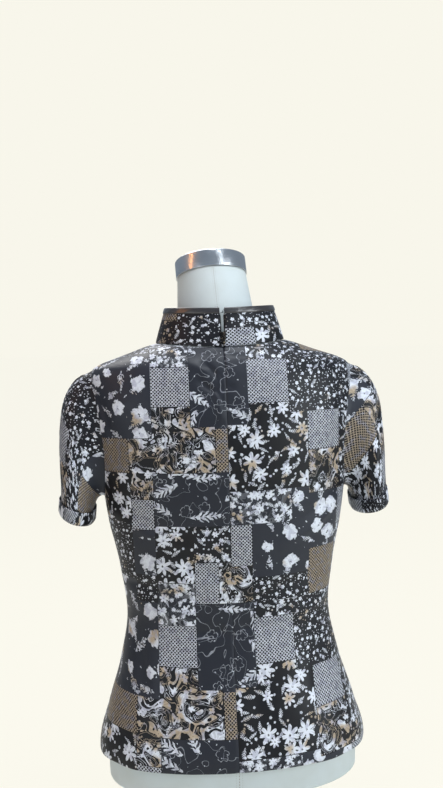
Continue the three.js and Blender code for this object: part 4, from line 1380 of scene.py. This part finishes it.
class QIPAO_OT_studio(bpy.types.Operator):
    """Add the floor, the soft lights and the camera"""
    bl_idname = "qipao.studio"
    bl_label = "Studio"

    def execute(self, context):
        settings = context.scene.qipao_studio
        scene = context.scene
        scene.view_settings.view_transform = "Standard"
        add_floor(settings)
        add_surroundings(scene, settings)
        for name, light in LIGHTS.items():
            add_area_light(name, *light)
        add_camera(scene, settings)
        return {"FINISHED"}


def add_floor(settings):
    bm = bmesh.new()
    bmesh.ops.create_circle(bm, cap_ends=True, segments=96, radius=FLOOR_RADIUS)
    mesh = mesh_from(bm, "floor")
    floor = bpy.data.objects.new("floor", mesh)
    bpy.context.scene.collection.objects.link(floor)
    finish = Finish("floor_paint")
    sight = finish.node("ShaderNodeLightPath").outputs["Is Camera Ray"]
    matte = finish.node("ShaderNodeBsdfDiffuse", None, {0: rgba(settings.backdrop)})
    glow = finish.node("ShaderNodeEmission", None,
                       {0: rgba(settings.backdrop), 1: FLOOR_GLOW["strength"]})
    share = finish.amount(sight) * FLOOR_GLOW["share"]
    both = finish.node("ShaderNodeMixShader", None,
                       {0: share, 1: matte.outputs[0], 2: glow.outputs[0]})
    finish.node("ShaderNodeOutputMaterial", None, {0: both.outputs[0]})
    mesh.materials.append(finish.material)


def add_surroundings(scene, settings):
    world = bpy.data.worlds.new("studio")
    scene.world = world
    world.use_nodes = True
    tree = world.node_tree
    tree.nodes.clear()
    path = tree.nodes.new("ShaderNodeLightPath")

    def background(colour, strength):
        node = tree.nodes.new("ShaderNodeBackground")
        node.inputs[0].default_value = rgba(colour)
        node.inputs[1].default_value = strength
        return node.outputs[0]

    def choose(ray, otherwise, chosen):
        node = tree.nodes.new("ShaderNodeMixShader")
        tree.links.new(path.outputs[ray], node.inputs[0])
        tree.links.new(otherwise, node.inputs[1])
        tree.links.new(chosen, node.inputs[2])
        return node.outputs[0]

    around = choose("Is Glossy Ray", background(*SKY), background(*MIRRORED))
    whole = choose("Is Camera Ray", around, background(settings.backdrop, 1.0))
    out = tree.nodes.new("ShaderNodeOutputWorld")
    tree.links.new(whole, out.inputs[0])


def add_area_light(name, place, target, width, height, power, colour):
    light = bpy.data.lights.new(name, "AREA")
    light.shape = "RECTANGLE"
    light.size, light.size_y = width, height
    light.energy = power
    light.color = colour
    obj = bpy.data.objects.new(name, light)
    bpy.context.scene.collection.objects.link(obj)
    way = Vector(target) - Vector(place)
    obj.matrix_world = (Matrix.Translation(place)
                        @ way.to_track_quat("-Z", "Y").to_matrix().to_4x4())


def add_camera(scene, settings):
    camera = bpy.data.cameras.new("camera")
    camera.lens = settings.lens
    camera.shift_x, camera.shift_y = CAMERA_SHIFT
    camera.clip_start = 0.01
    obj = bpy.data.objects.new("camera", camera)
    scene.collection.objects.link(obj)
    back = Vector((math.sin(settings.azimuth), -math.cos(settings.azimuth), 0))
    place = back * settings.distance + Vector((0, 0, NECK_POINT_HEIGHT * MM))
    obj.matrix_world = (Matrix.Translation(place)
                        @ Matrix.Rotation(settings.azimuth, 4, "Z")
                        @ Matrix.Rotation(math.radians(90), 4, "X")
                        @ Matrix.Rotation(CAMERA_ROLL, 4, "Z"))
    scene.camera = obj


class QIPAO_PT_panel(bpy.types.Panel):
    """Lists the pieces of the top and their settings"""
    bl_label = "Qipao top"
    bl_idname = "QIPAO_PT_panel"
    bl_space_type = "VIEW_3D"
    bl_region_type = "UI"
    bl_category = "Qipao"

    def draw(self, context):
        layout = self.layout
        for operator in OPERATORS:
            layout.operator(operator.bl_idname)
        for name in GROUPS:
            group = getattr(context.scene, name)
            box = layout.box()
            for setting in type(group).__annotations__:
                box.prop(group, setting)


OPERATORS = (QIPAO_OT_dress_form, QIPAO_OT_panels, QIPAO_OT_sleeves, QIPAO_OT_collar,
             QIPAO_OT_zip, QIPAO_OT_hook_and_eye, QIPAO_OT_studio)
GROUPS = {"qipao_cloth": ClothSettings, "qipao_form": FormSettings, "qipao_zip": ZipSettings,
          "qipao_studio": StudioSettings}


def register():
    for group in GROUPS.values():
        bpy.utils.register_class(group)
    for name, group in GROUPS.items():
        setattr(bpy.types.Scene, name, bpy.props.PointerProperty(type=group))
    for operator in OPERATORS:
        bpy.utils.register_class(operator)
    bpy.utils.register_class(QIPAO_PT_panel)


def unregister():
    bpy.utils.unregister_class(QIPAO_PT_panel)
    for operator in reversed(OPERATORS):
        bpy.utils.unregister_class(operator)
    for name, group in GROUPS.items():
        delattr(bpy.types.Scene, name)
        bpy.utils.unregister_class(group)


def main():
    register()
    bpy.ops.qipao.dress_form()
    bpy.ops.qipao.panels()
    bpy.ops.qipao.sleeves()
    bpy.ops.qipao.collar()
    bpy.ops.qipao.zip()
    bpy.ops.qipao.hook_and_eye()
    bpy.ops.qipao.studio()


if __name__ == "__main__":
    main()
